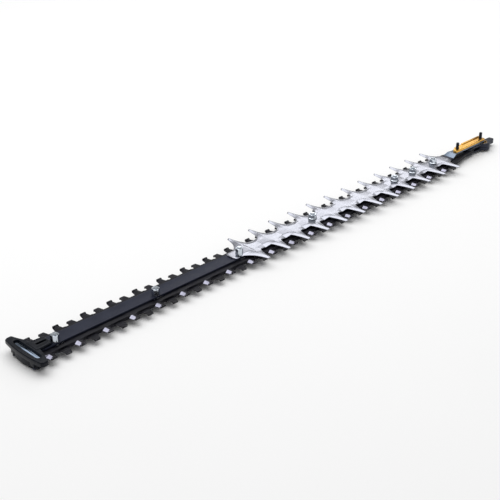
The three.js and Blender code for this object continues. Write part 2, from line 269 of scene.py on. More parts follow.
def opaque(colour: Any) -> Any:
    """Give a colour's three numbers an alpha of 1, and leave a Value as it is."""
    return colour if isinstance(colour, Value) else (*colour, 1.0)


# ---------------------------------------------------------------- finishes


class Grain(Enum):
    """The surface pattern of a finish, as the stretch of its lines along X, Y and Z."""

    PLAIN = (1.0, 1.0, 1.0)
    ALONG_BAR = (0.03, 1.0, 1.0)
    ACROSS_EDGE = (0.06, 1.0, 0.06)


@dataclass(frozen=True)
class MetalFinish:
    """A metal or painted-metal finish: two tones, a grain, a bump and a spread of roughness.

    Scales count lumps in a metre, grain_depth is in metres, and the shares run from 0 to 1.
    """

    name: str
    tone: Sequence[float]
    second: Sequence[float]
    metallic: float
    rough: Point
    grain: Grain = Grain.PLAIN
    grain_scale: float = 900.0
    grain_depth: float = 0.00003
    cloud_scale: float = 60.0
    cloud_share: float = 0.65
    spangle: float = 0.0
    spangle_scale: float = 720.0
    gloss: float = 0.3

    def patterns(self, shader: Shader) -> tuple[Value, Value]:
        """Make the fine grain and the coarse clouding.

        Args:
            shader: the material being made.

        Returns:
            The grain and the clouding, each from 0 to 1.
        """
        stretch = None if self.grain is Grain.PLAIN else self.grain.value
        grain = shader.noise(self.grain_scale, 4.0, stretch)
        cloud = shader.noise(self.cloud_scale, 3.0).ramp(0.32, 0.68)
        if self.spangle:
            cloud = cloud * (1.0 - self.spangle) + shader.cells(self.spangle_scale) * self.spangle
        return grain, cloud

    def roughness(self, grain: Value, cloud: Value) -> Value:
        """Spread the roughness over its range, as the two patterns together go.

        Args:
            grain: the fine grain.
            cloud: the coarse clouding.

        Returns:
            The roughness.
        """
        low, high = self.rough
        return (cloud * 0.5 + grain * 0.5).ramp(0.25, 0.75, low, high)

    def dress(self, shader: Shader) -> None:
        """Feed the shader's colour, roughness and normal from the patterns.

        Args:
            shader: the material being made.
        """
        grain, cloud = self.patterns(shader)
        blend = cloud * self.cloud_share + grain.ramp(0.35, 0.65) * (1.0 - self.cloud_share)
        shader.set(
            Base_Color=shader.mix(blend, self.tone, self.second),
            Metallic=self.metallic,
            Roughness=self.roughness(grain, cloud),
            Normal=shader.bump(grain, self.grain_depth),
            Specular_IOR_Level=self.gloss,
        )

    def build(self) -> bpy.types.Material:
        """Make the material.

        Returns:
            The finished material.
        """
        shader = Shader(self.name)
        self.dress(shader)
        return shader.material


@dataclass(frozen=True)
class WornBladeFinish(MetalFinish):
    """A black blade coating, rubbed to steel at the tooth tips and in fine scratches along the stroke."""

    worn: Sequence[float] = (0.42, 0.42, 0.45)
    rubbed_from: Point = (0.0248, 0.027)
    rubbed_share: float = 0.14
    scratched_from: Point = (0.0125, 0.017)
    scratched_share: float = 0.15

    def dress(self, shader: Shader) -> None:
        """Lay the wear over the plain coating, by the distance from the bar's centre line.

        Args:
            shader: the material being made.
        """
        grain, cloud = self.patterns(shader)
        reach = abs(shader.across("Y"))
        patches = shader.noise(420.0, 5.0).ramp(0.5, 0.64) * reach.ramp(*self.rubbed_from)
        lines = shader.noise(1500.0, 2.0, Grain.ALONG_BAR.value).ramp(0.62, 0.72)
        scratches = lines * reach.ramp(*self.scratched_from)
        wear = patches * self.rubbed_share + scratches * self.scratched_share
        coat = shader.mix(cloud, self.tone, self.second)
        shader.set(
            Base_Color=shader.mix(wear, coat, self.worn),
            Metallic=wear.ramp(0.0, 0.8, self.metallic, 1.0),
            Roughness=self.roughness(grain, cloud),
            Normal=shader.bump(grain, self.grain_depth),
            Specular_IOR_Level=self.gloss,
        )


class Finish(Enum):
    """Every finish on the cutter bar."""

    BLADE_BLACK = WornBladeFinish(
        "blade_black", (0.004, 0.004, 0.007), (0.015, 0.015, 0.021), 0.1, (0.38, 0.56), gloss=0.14
    )
    # real ground steel, but laid only on the near teeth's nose-facing bevels, where it is a painted highlight
    GROUND_STEEL = MetalFinish(
        "ground_steel", (0.22, 0.22, 0.28), (0.44, 0.44, 0.54), 1.0, (0.26, 0.42),
        Grain.ACROSS_EDGE, 2600.0, 0.00002,
    )
    SLATE_PAINT = MetalFinish(
        "slate_paint", (0.012, 0.015, 0.031), (0.020, 0.024, 0.044), 0.1, (0.34, 0.46),
        grain_scale=1600.0, gloss=0.18,
    )
    COMB_SILVER = MetalFinish(
        "comb_silver", (0.40, 0.41, 0.46), (0.45, 0.46, 0.52), 0.95, (0.17, 0.22),
        Grain.ALONG_BAR, 900.0, 0.000003,
    )
    GUARD_CASTING = MetalFinish(
        "guard_casting", (0.002, 0.003, 0.006), (0.005, 0.007, 0.013), 0.1, (0.22, 0.34),
        grain_scale=2200.0, gloss=0.16,
    )
    GUARD_INSERT = MetalFinish(
        "guard_insert", (0.12, 0.15, 0.20), (0.22, 0.27, 0.34), 1.0, (0.08, 0.14),
        Grain.ALONG_BAR, 1500.0, 0.00001,
    )
    # a lighter blue-grey metal for the bar's rear: a painted highlight standing in for the bright reflection
    # on the joggle's slope
    REAR_HIGHLIGHT_STEEL = MetalFinish(
        "rear_highlight_steel", (0.13, 0.17, 0.23), (0.24, 0.29, 0.37), 0.95, (0.24, 0.36),
        Grain.ALONG_BAR, 1100.0, 0.00001,
    )
    BRIGHT_ZINC = MetalFinish(
        "bright_zinc", (0.48, 0.53, 0.58), (0.68, 0.72, 0.78), 1.0, (0.10, 0.22),
        cloud_scale=90.0, spangle=0.4,
    )
    YELLOW_ZINC = MetalFinish(
        "yellow_zinc", (0.72, 0.36, 0.055), (0.88, 0.55, 0.13), 0.9, (0.2, 0.36),
        Grain.ALONG_BAR, 1400.0, 0.00002,
    )
    BLACK_STEEL = MetalFinish(
        "black_steel", (0.014, 0.017, 0.028), (0.036, 0.041, 0.062), 0.5, (0.28, 0.46), grain_scale=1300.0
    )
    BUSH_BRONZE = MetalFinish("bush_bronze", (0.30, 0.18, 0.07), (0.52, 0.36, 0.16), 1.0, (0.24, 0.4))


class Finishes:
    """Makes each finish's material once."""

    def __init__(self) -> None:
        """Start with no material made."""
        self.made: dict[Finish, bpy.types.Material] = {}

    def get(self, finish: Finish) -> bpy.types.Material:
        """Give a finish's material, made on first use.

        Args:
            finish: the finish wanted.

        Returns:
            Its material.
        """
        if finish not in self.made:
            self.made[finish] = finish.value.build()
        return self.made[finish]


# ---------------------------------------------------------------- modelling


class Pick(Enum):
    """What an edit-mode selection holds."""

    VERTS = "VERT"
    EDGES = "EDGE"
    FACES = "FACE"


@dataclass(frozen=True)
class Datum:
    """Where the millimetre axes lie in the frame."""

    x: float
    z: float

    @classmethod
    def from_frame(cls, nose_x: float, half_gap: float) -> Datum:
        """Find the axes from the upper blade, whose nose and underside have known places on them.

        Args:
            nose_x: X of the blade's nose in millimetres.
            half_gap: height of the blade's underside in millimetres.

        Returns:
            The datum.
        """
        low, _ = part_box("upper_blade")
        return cls(low.x - nose_x * MM, low.z - half_gap * MM)

    def matrix(self) -> Matrix:
        """Give the transform from millimetres to the frame."""
        return Matrix.Translation((self.x, 0.0, self.z)) @ Matrix.Scale(MM, 4)

    def point(self, x: float, y: float, z: float) -> Vector:
        """Give a point in the frame's metres."""
        return self.matrix() @ Vector((x, y, z))


def rounded(corners: Sequence[Corner], steps: int = 6) -> list[Point]:
    """Round the corners of a closed outline with arcs.

    Args:
        corners: each corner's X, Y and radius, in order round the outline.
        steps: segments in each arc.

    Returns:
        The outline's points.
    """
    points: list[Point] = []
    for i, (x, y, radius) in enumerate(corners):
        here = Vector((x, y))
        if radius == 0.0:
            points.append((x, y))
            continue
        back = (Vector(corners[i - 1][:2]) - here).normalized()
        ahead = (Vector(corners[(i + 1) % len(corners)][:2]) - here).normalized()
        half = back.angle(ahead) / 2.0
        centre = here + (back + ahead).normalized() * (radius / math.sin(half))
        start = here + back * (radius / math.tan(half)) - centre
        end = here + ahead * (radius / math.tan(half)) - centre
        sweep = math.atan2(start.cross(end), start.dot(end))
        for k in range(steps + 1):
            turned = Matrix.Rotation(sweep * k / steps, 2) @ start + centre
            points.append((turned.x, turned.y))
    return points


def mirrored(corners: Sequence[Corner]) -> list[Corner]:
    """Mirror an edge's corners across the centre line, in the order that closes the outline."""
    return [(x, -y, radius) for x, y, radius in reversed(corners)]


def stadium(x0: float, x1: float, half: float, y: float = 0.0) -> list[Point]:
    """Give a slot's outline along X, with round ends.

    Args:
        x0: where it starts.
        x1: where it ends.
        half: half its width.
        y: where its middle lies across the bar.

    Returns:
        The outline's points.
    """
    radius = half - ARC_GAP
    low, high = y - half, y + half
    return rounded([(x0, low, radius), (x1, low, radius), (x1, high, radius), (x0, high, radius)], 8)


def bow(half: float, x: float, depth: float, steps: int = 14) -> list[Corner]:
    """Give a front edge that bows forward between its ends.

    Args:
        half: half its length across the bar.
        x: X of its middle.
        depth: how far its ends stand behind its middle.
        steps: segments along it.

    Returns:
        Its corners, from -half to half.
    """
    places = [2.0 * k / steps - 1.0 for k in range(steps + 1)]
    return [(x + depth * t * t, half * t, 0.0) for t in places]


class Bench:
    """Adds primitives and shapes them with Blender's mesh operators, in millimetres."""

    def __init__(self, datum: Datum, finishes: Finishes) -> None:
        """Keep where the millimetre axes lie and where materials come from."""
        self.datum = datum
        self.finishes = finishes

    def choose(self, *objects: bpy.types.Object) -> None:
        """Select only these objects and make the first one active."""
        bpy.ops.object.select_all(action="DESELECT")
        for obj in objects:
            obj.select_set(True)
        bpy.context.view_layer.objects.active = objects[0]

    @contextmanager
    def editing(self, obj: bpy.types.Object) -> Iterator[None]:
        """Open an object in edit mode with nothing selected.

        Args:
            obj: the object to shape.

        Yields:
            Nothing, while the object is open.
        """
        self.choose(obj)
        bpy.ops.object.mode_set(mode="EDIT")
        bpy.ops.mesh.select_all(action="DESELECT")
        yield
        bpy.ops.object.mode_set(mode="OBJECT")

    def pick(self, obj: bpy.types.Object, kind: Pick, test: Callable[[Any], bool]) -> None:
        """Select the parts of an open mesh that pass a test, and no others.

        Args:
            obj: the object in edit mode.
            kind: whether vertices, edges or faces are tested.
            test: says whether one of them is wanted.
        """
        bpy.ops.mesh.select_all(action="DESELECT")
        bpy.ops.mesh.select_mode(type=kind.value)
        mesh = bmesh.from_edit_mesh(obj.data)
        parts = {Pick.VERTS: mesh.verts, Pick.EDGES: mesh.edges, Pick.FACES: mesh.faces}[kind]
        for part in parts:
            part.select_set(test(part))
        mesh.select_flush_mode()
        bmesh.update_edit_mesh(obj.data)

    def flat(self, name: str, outline: Sequence[Point], z: float) -> bpy.types.Object:
        """Add a filled disc and pull its rim to an outline.

        Args:
            name: the object's name.
            outline: the points of the rim, in order.
            z: its height.

        Returns:
            The flat object.
        """
        bpy.ops.object.select_all(action="DESELECT")
        bpy.ops.mesh.primitive_circle_add(vertices=len(outline), radius=1.0, fill_type="NGON")
        obj = bpy.context.object
        obj.name = obj.data.name = name
        rim = obj.data.polygons[0].vertices
        for index, (x, y) in zip(rim, outline):
            obj.data.vertices[index].co = (x, y, z)
        return obj

    def slab(self, name: str, outline: Sequence[Point], z0: float, z1: float) -> bpy.types.Object:
        """Make an outline solid between two heights.

        Args:
            name: the object's name.
            outline: the points of its rim, in order.
            z0: its underside.
            z1: its top.

        Returns:
            The solid.
        """
        obj = self.flat(name, outline, z0)
        with self.editing(obj):
            bpy.ops.mesh.select_all(action="SELECT")
            bpy.ops.mesh.extrude_region_move(TRANSFORM_OT_translate={"value": (0.0, 0.0, z1 - z0)})
        self.face_out(obj)
        return obj

    def drum(
        self, name: str, x: float, y: float, radius: float, z0: float, z1: float, sides: int = 48
    ) -> bpy.types.Object:
        """Add an upright cylinder.

        Args:
            name: the object's name.
            x: X of its axis.
            y: Y of its axis.
            radius: its radius.
            z0: its underside.
            z1: its top.
            sides: how many faces go round it.

        Returns:
            The cylinder.
        """
        bpy.ops.object.select_all(action="DESELECT")
        bpy.ops.mesh.primitive_cylinder_add(
            vertices=sides, radius=radius, depth=z1 - z0, location=(x, y, (z0 + z1) / 2.0)
        )
        obj = bpy.context.object
        bpy.ops.object.transform_apply(location=True, rotation=True, scale=True)
        obj.name = obj.data.name = name
        return obj

    def turned(
        self, name: str, x: float, y: float, profile: Sequence[Point], steps: int = 48
    ) -> bpy.types.Object:
        """Turn a closed profile about an upright axis, as on a lathe.

        Args:
            name: the object's name.
            x: X of the axis.
            y: Y of the axis.
            profile: radius and height of each corner, in order.
            steps: how many faces go round it.

        Returns:
            The turned piece.
        """
        bpy.ops.object.select_all(action="DESELECT")
        bpy.ops.mesh.primitive_circle_add(vertices=len(profile), radius=1.0, fill_type="NOTHING")
        obj = bpy.context.object
        obj.name = obj.data.name = name
        for vertex, (radius, height) in zip(obj.data.vertices, profile):
            vertex.co = (x + radius, y, height)
        with self.editing(obj):
            bpy.ops.mesh.select_all(action="SELECT")
            bpy.ops.mesh.spin(steps=steps, angle=math.tau, center=(x, y, 0.0), axis=(0.0, 0.0, 1.0))
            bpy.ops.mesh.select_all(action="SELECT")
            bpy.ops.mesh.remove_doubles(threshold=0.001)
            bpy.ops.mesh.select_all(action="SELECT")
            bpy.ops.mesh.delete_loose(use_verts=True, use_edges=True, use_faces=False)
        self.face_out(obj)
        return obj

    def face_out(self, obj: bpy.types.Object) -> None:
        """Turn every face of a closed mesh outwards.

        Args:
            obj: the object with the mesh.
        """
        with self.editing(obj):
            bpy.ops.mesh.select_all(action="SELECT")
            bpy.ops.mesh.normals_make_consistent(inside=False)

    def weld(self, obj: bpy.types.Object, distance: float) -> None:
        """Merge an object's doubled vertices, then turn its faces out.

        Args:
            obj: the object to merge.
            distance: how far apart two vertices may be and still count as one.
        """
        with self.editing(obj):
            bpy.ops.mesh.select_all(action="SELECT")
            bpy.ops.mesh.remove_doubles(threshold=distance)
        self.face_out(obj)

    def round_edges(
        self, obj: bpy.types.Object, test: Callable[[Any], bool], width: float, segments: int = 3
    ) -> None:
        """Bevel the edges that pass a test.

        Args:
            obj: the object to shape.
            test: says whether an edge is wanted.
            width: how far the bevel reaches from the edge.
            segments: faces across the bevel.
        """
        with self.editing(obj):
            self.pick(obj, Pick.EDGES, test)
            bpy.ops.mesh.bevel(offset=width, segments=segments, affect="EDGES", clamp_overlap=True)

    def modify(self, obj: bpy.types.Object, kind: str, **settings: Any) -> None:
        """Add a modifier to an object and apply it.

        Args:
            obj: the object to change.
            kind: the modifier's Blender type.
            settings: its attributes.
        """
        self.choose(obj)
        modifier = obj.modifiers.new(kind.lower(), kind)
        for key, setting in settings.items():
            setattr(modifier, key, setting)
        bpy.ops.object.modifier_apply(modifier=modifier.name)

    def combine(self, obj: bpy.types.Object, operation: str, others: Sequence[bpy.types.Object]) -> None:
        """Join, cut or intersect an object with others, and remove those.

        Args:
            obj: the object that stays.
            operation: "UNION", "DIFFERENCE" or "INTERSECT".
            others: the objects used up.
        """
        for other in others:
            self.modify(obj, "BOOLEAN", operation=operation, solver="EXACT", object=other)
            bpy.data.objects.remove(other)

    def cut_with(self, obj: bpy.types.Object, cutters: Sequence[bpy.types.Object]) -> None:
        """Cut an object with many cutters at once, and remove those.

        Args:
            obj: the object that stays.
            cutters: solids that don't touch each other.
        """
        self.choose(*cutters)
        bpy.ops.object.join()
        self.combine(obj, "DIFFERENCE", cutters[:1])

    def soften(self, obj: bpy.types.Object, width: float, segments: int = 2, degrees: float = 40.0) -> None:
        """Break every sharp edge of a finished shape with a small bevel.

        Args:
            obj: the shape.
            width: the bevel's width.
            segments: faces across the bevel.
            degrees: the least angle between two faces that counts as sharp.
        """
        self.modify(
            obj, "BEVEL", width=width, segments=segments, limit_method="ANGLE",
            angle_limit=math.radians(degrees), use_clamp_overlap=True,
        )

    def shade(self, obj: bpy.types.Object, degrees: float = 32.0) -> None:
        """Smooth the shading wherever faces meet at less than an angle."""
        self.choose(obj)
        bpy.ops.object.shade_smooth_by_angle(angle=math.radians(degrees))

    def copied(
        self, obj: bpy.types.Object, name: str, dx: float, dy: float, dz: float = 0.0
    ) -> bpy.types.Object:
        """Copy a modelled piece with a mesh of its own.

        Args:
            obj: the piece, still in millimetres.
            name: the copy's name.
            dx: how far the copy stands along the bar.
            dy: how far it stands across.
            dz: how far it stands above.

        Returns:
            The copy.
        """
        made = obj.copy()
        made.data = obj.data.copy()
        made.name = made.data.name = name
        made.data.transform(Matrix.Translation((dx, dy, dz)))
        bpy.context.scene.collection.objects.link(made)
        return made

    def settle(self, obj: bpy.types.Object, node: str, body: str, finish: Finish, slot: str) -> None:
        """Put a finished piece in the frame in its node's stead.

        Args:
            obj: the piece, in millimetres.
            node: the CAD node that it stands for.
            body: the body that carries it.
            finish: its finish, when it has no material yet.
            slot: not used.
        """
        obj.data.transform(self.datum.matrix())
        obj.data.update()
        if not obj.data.materials:
            obj.data.materials.append(self.finishes.get(finish))
        obj.name = obj.data.name = f"{node}_skin"
        self.shade(obj)
        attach(obj, body)
        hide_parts(node)
        log.info("%s: %d faces on %s", obj.name, len(obj.data.polygons), body)


# ---------------------------------------------------------------- sub-assemblies

FIXED = "bar_assembly"
FASTENERS = (
    (13.0, -5.0), (155.5, -5.0), (293.5, -5.0), (438.0, 0.0), (620.0, 0.0), (664.0, 0.0), (716.0, 0.0)
)
FIRST_TOOTH = -3.5
STUD_X = (781.0, 845.6)
SCREW_RADIUS = 3.0
SLEEVE_RADIUS = 4.1
STUD_RADIUS = 2.5
PIN_X = 812.0
ROOM = 0.3  # between pieces that don't touch


@dataclass
class Levels:
    """Heights that the pieces share, bottom to top."""

    blade_low: float = 0.15
    blade_high: float = 2.35
    bar: float = 2.65
    bar_top: float = 5.35
    comb: float = 5.65
    comb_top: float = 7.65
    washer: float = -4.25
    head_seat: float = -4.55
    head: float = -7.75
    raised: float = 6.95
    plate: float = 9.95
    plate_top: float = 12.95
    rod_low: float = 0.2
    rod_high: float = 5.4


LEVEL = Levels()


@dataclass
class ToothedBlade:
    """One blade, with twenty ground teeth on each side."""

    bench: Bench
    side: str
    first_tooth: float
    pitch: float = 38.0
    teeth: int = 20
    root_half: float = 6.4
    tip_half: float = 3.7
    root_y: float = 16.0
    tip_y: float = 27.0
    gullet_radius: float = 3.0
    tip_radius: float = 1.2
    grind: float = 0.88  # of half the tooth's width
    grind_in: Point = (1.2, 2.6)  # from the root: where the bevel starts and where it is full
    grind_out: Point = (1.2, 2.1)  # from the tip: where it ends and where it starts to narrow
    grind_marks: tuple[float, ...] = (2.8, 3.2, 8.9, 9.8)
    full_bevel: float = 3.0  # the width that is ground down to the land
    land: float = 0.35
    edge_break: float = 0.25
    nose: Corner = (-12.0, 12.5, 4.0)
    tail: tuple[Corner, ...] = ((762.0, 16.0, 6.0), (792.0, 9.5, 14.0), (821.0, 8.0, 7.5))
    travel: float = 9.5

    def half_width(self, height: float) -> float:
        """Give half a tooth's width at a height over its root."""
        return self.root_half + (self.tip_half - self.root_half) * height / (self.tip_y - self.root_y)

    def flank_points(self, x: float, turn: int) -> list[Corner]:
        """Give one flank's extra points, where the grinding runs out towards the tip and the root.

        Args:
            x: the tooth's centre.
            turn: -1 for the flank towards the nose, 1 for the other.

        Returns:
            Points from the root to the tip, with no rounding.
        """
        return [(x + turn * self.half_width(mark), self.root_y + mark, 0.0) for mark in self.grind_marks]

    def edge(self) -> list[Corner]:
        """Lay out one long edge with its teeth.

        Returns:
            Its corners, from the nose to the tail.
        """
        corners = [self.nose]
        for k in range(self.teeth):
            x = self.first_tooth + k * self.pitch
            corners.append((x - self.root_half, self.root_y, self.gullet_radius))
            corners += self.flank_points(x, -1)
            corners.append((x - self.tip_half, self.tip_y, self.tip_radius))
            corners.append((x + self.tip_half, self.tip_y, self.tip_radius))
            corners += reversed(self.flank_points(x, 1))
            corners.append((x + self.root_half, self.root_y, self.gullet_radius))
        return corners + list(self.tail)

    def grind_width(self, x: float, y: float) -> float:
        """Say how wide the ground bevel is at a point of the outline.

        Args:
            x: the point's place along the bar.
            y: its place across.

        Returns:
            The bevel's width.
        """
        margin = self.root_half + self.gullet_radius + 1.0
        last = self.first_tooth + (self.teeth - 1) * self.pitch
        if not self.first_tooth - margin < x < last + margin:
            return self.edge_break
        height = abs(y) - self.root_y
        left = self.tip_y - abs(y)
        rising = (height - self.grind_in[0]) / (self.grind_in[1] - self.grind_in[0])
        falling = (left - self.grind_out[0]) / (self.grind_out[1] - self.grind_out[0])
        share = min(max(min(rising, falling), 0.0), 1.0)
        return self.edge_break + (self.grind * self.half_width(height) - self.edge_break) * share

    def grind_teeth(self, blank: bpy.types.Object, up: bool) -> None:
        """Inset the ground side and slope its rim into the teeth's bevels.

        Args:
            blank: the flat blade.
            up: whether the bevels are on top or underneath.
        """
        facing = 1.0 if up else -1.0
        drop = LEVEL.blade_high - LEVEL.blade_low - self.land
        hairline = 0.02
        with self.bench.editing(blank):
            self.bench.pick(blank, Pick.FACES, lambda face: face.normal.z * facing > 0.9)
            bpy.ops.mesh.inset(thickness=hairline, depth=0.0, use_boundary=True)
            mesh = bmesh.from_edit_mesh(blank.data)
            inner = next(face for face in mesh.faces if face.select)
            ring = [loop.vert for loop in inner.loops]
            rims = [next(e.other_vert(v) for e in v.link_edges if not e.other_vert(v).select) for v in ring]
            places = [rim.co.copy() for rim in rims]
            for i, (vert, rim) in enumerate(zip(ring, rims)):
                along = places[(i + 1) % len(places)] - places[i - 1]
                inward = Vector((-along.y, along.x, 0.0)).normalized() * facing
                width = self.grind_width(places[i].x, places[i].y)
                vert.co = places[i] + inward * width
                rim.co.z -= facing * drop * min(width / self.full_bevel, 1.0)
            bmesh.update_edit_mesh(blank.data)

    def paint_highlight_bevels(self, blank: bpy.types.Object) -> None:
        """Give bare steel only to the near teeth's bevels that face the nose, as a painted highlight where
        the light falls, and the black coating to the rest, ground bevels included.

        Args:
            blank: the blade with its teeth ground.
        """
        for finish in (Finish.BLADE_BLACK, Finish.GROUND_STEEL):
            blank.data.materials.append(self.bench.finishes.get(finish))
        for face in blank.data.polygons:
            # painted highlight: steel only on near-side bevels facing -X, the lit ones; the other ground
            # bevels keep the black coating
            lit_bevel = face.normal.x < -0.1 and 0.3 < abs(face.normal.z) < 0.99
            face.material_index = int(lit_bevel and face.center.y < -self.root_y - 1.0)

    def build(self) -> None:
        """Model the blade and put it in the frame."""
        bench, up = self.bench, self.side == "upper"
        z0, z1 = (LEVEL.blade_low, LEVEL.blade_high) if up else (-LEVEL.blade_high, -LEVEL.blade_low)
        edge = self.edge()
        outline = list(reversed(rounded(edge + mirrored(edge), 5)))
        blank = bench.slab(f"{self.side}_blade_blank", outline, z0, z1)
        self.grind_teeth(blank, up)
        bench.face_out(blank)
        half = SLEEVE_RADIUS + ROOM
        reach = half + self.travel
        slots = [stadium(x - reach, x + reach, half, y) for x, y in FASTENERS]
        cutters = [bench.slab("slot", slot, z0 - 1.0, z1 + 1.0) for slot in slots]
        cutters.append(bench.drum("pin_hole", PIN_X, 0.0, SCREW_RADIUS + ROOM, z0 - 1.0, z1 + 1.0))
        bench.cut_with(blank, cutters)
        self.paint_highlight_bevels(blank)
        body = f"{self.side}_blade_unit"
        bench.settle(blank, f"{self.side}_blade", body, Finish.BLADE_BLACK, "blade_steel")


@dataclass
class GuideBar:
    """The flat bar over the blades, with its rear end raised over the rods."""

    bench: Bench
    nose_x: float = -9.0
    half: float = 9.5
    joggle: Point = (757.0, 767.0)
    rise: float = 4.3
    waist: float = 8.0
    taper_end: float = 772.0
    rear_half: float = 6.2
    end_x: float = 850.0
    nose_corner: float = 5.0
    end_corner: float = 2.0
    fold: float = 1.8
    # where the lighter blue-grey metal of the painted highlight starts
    highlight_from: float = 758.0

    def grow(self, bar: bpy.types.Object, step: tuple[float, float, float], narrow: float) -> None:
        """Pull the bar's rear face on and narrow it.

        Args:
            bar: the bar, open in edit mode.
            step: how far the face moves.
            narrow: the new width over the old one.
        """
        mesh = bmesh.from_edit_mesh(bar.data)
        rear = max(face.calc_center_median().x for face in mesh.faces)
        self.bench.pick(bar, Pick.FACES, lambda face: face.calc_center_median().x > rear - 0.01)
        bpy.ops.mesh.extrude_region_move(TRANSFORM_OT_translate={"value": step})
        bpy.ops.transform.resize(value=(1.0, narrow, 1.0), center_override=(0.0, 0.0, 0.0))

    def build(self) -> None:
        """Model the bar and put it in the frame."""
        bench = self.bench
        bpy.ops.object.select_all(action="DESELECT")
        length = self.joggle[0] - self.nose_x
        middle = ((self.joggle[0] + self.nose_x) / 2.0, 0.0, (LEVEL.bar + LEVEL.bar_top) / 2.0)
        bpy.ops.mesh.primitive_cube_add(
            size=1.0, location=middle, scale=(length, 2.0 * self.half, LEVEL.bar_top - LEVEL.bar)
        )
        bar = bpy.context.object
        bpy.ops.object.transform_apply(location=True, rotation=True, scale=True)
        with bench.editing(bar):
            self.grow(bar, (self.joggle[1] - self.joggle[0], 0.0, self.rise), self.waist / self.half)
            self.grow(bar, (self.taper_end - self.joggle[1], 0.0, 0.0), self.rear_half / self.waist)
            self.grow(bar, (self.end_x - self.taper_end, 0.0, 0.0), 1.0)
        bench.face_out(bar)
        bench.round_edges(bar, lambda edge: stands_at(edge, self.nose_x), self.nose_corner, 8)
        bench.round_edges(bar, lambda edge: stands_at(edge, self.end_x), self.end_corner, 5)
        for x in self.joggle:
            bench.round_edges(bar, lambda edge: lies_across_at(edge, x), self.fold, 4)
        bench.soften(bar, 0.7, 2, 50.0)
        holes = [bench.drum("hole", x, y, SCREW_RADIUS + ROOM, 0.0, 12.0) for x, y in FASTENERS]
        holes += [bench.drum("hole", x, 0.0, STUD_RADIUS + ROOM, 0.0, 12.0) for x in STUD_X]
        bench.cut_with(bar, holes)
        # faces past that X get the lighter blue-grey metal, a painted highlight on the joggle's slope and the
        # raised end; the rest get the slate paint
        for finish in (Finish.SLATE_PAINT, Finish.REAR_HIGHLIGHT_STEEL):
            bar.data.materials.append(bench.finishes.get(finish))
        for face in bar.data.polygons:
            face.material_index = int(face.center.x > self.highlight_from)
        bench.settle(bar, "guide_bar", FIXED, Finish.SLATE_PAINT, "bar_paint")


def at(edge: Any, x: float) -> bool:
    """Say whether both ends of an edge lie at an X."""
    return all(abs(vertex.co.x - x) < 0.1 for vertex in edge.verts)


def across(edge: Any) -> float:
    """Give how far an edge runs across the bar."""
    return abs(edge.verts[0].co.y - edge.verts[1].co.y)


def lies_over(edge: Any, z: float) -> bool:
    """Say whether both ends of an edge lie over a height."""
    return all(vertex.co.z > z for vertex in edge.verts)


def stands_at(edge: Any, x: float) -> bool:
    """Say whether an edge stands upright at an X."""
    return at(edge, x) and across(edge) < 0.01


def lies_across_at(edge: Any, x: float) -> bool:
    """Say whether an edge crosses the bar at an X."""
    return at(edge, x) and across(edge) > 1.0


def ease(t: float) -> float:
    """Turn 0..1 into a smooth step, flat outside it."""
    t = min(max(t, 0.0), 1.0)
    return t * t * (3.0 - 2.0 * t)


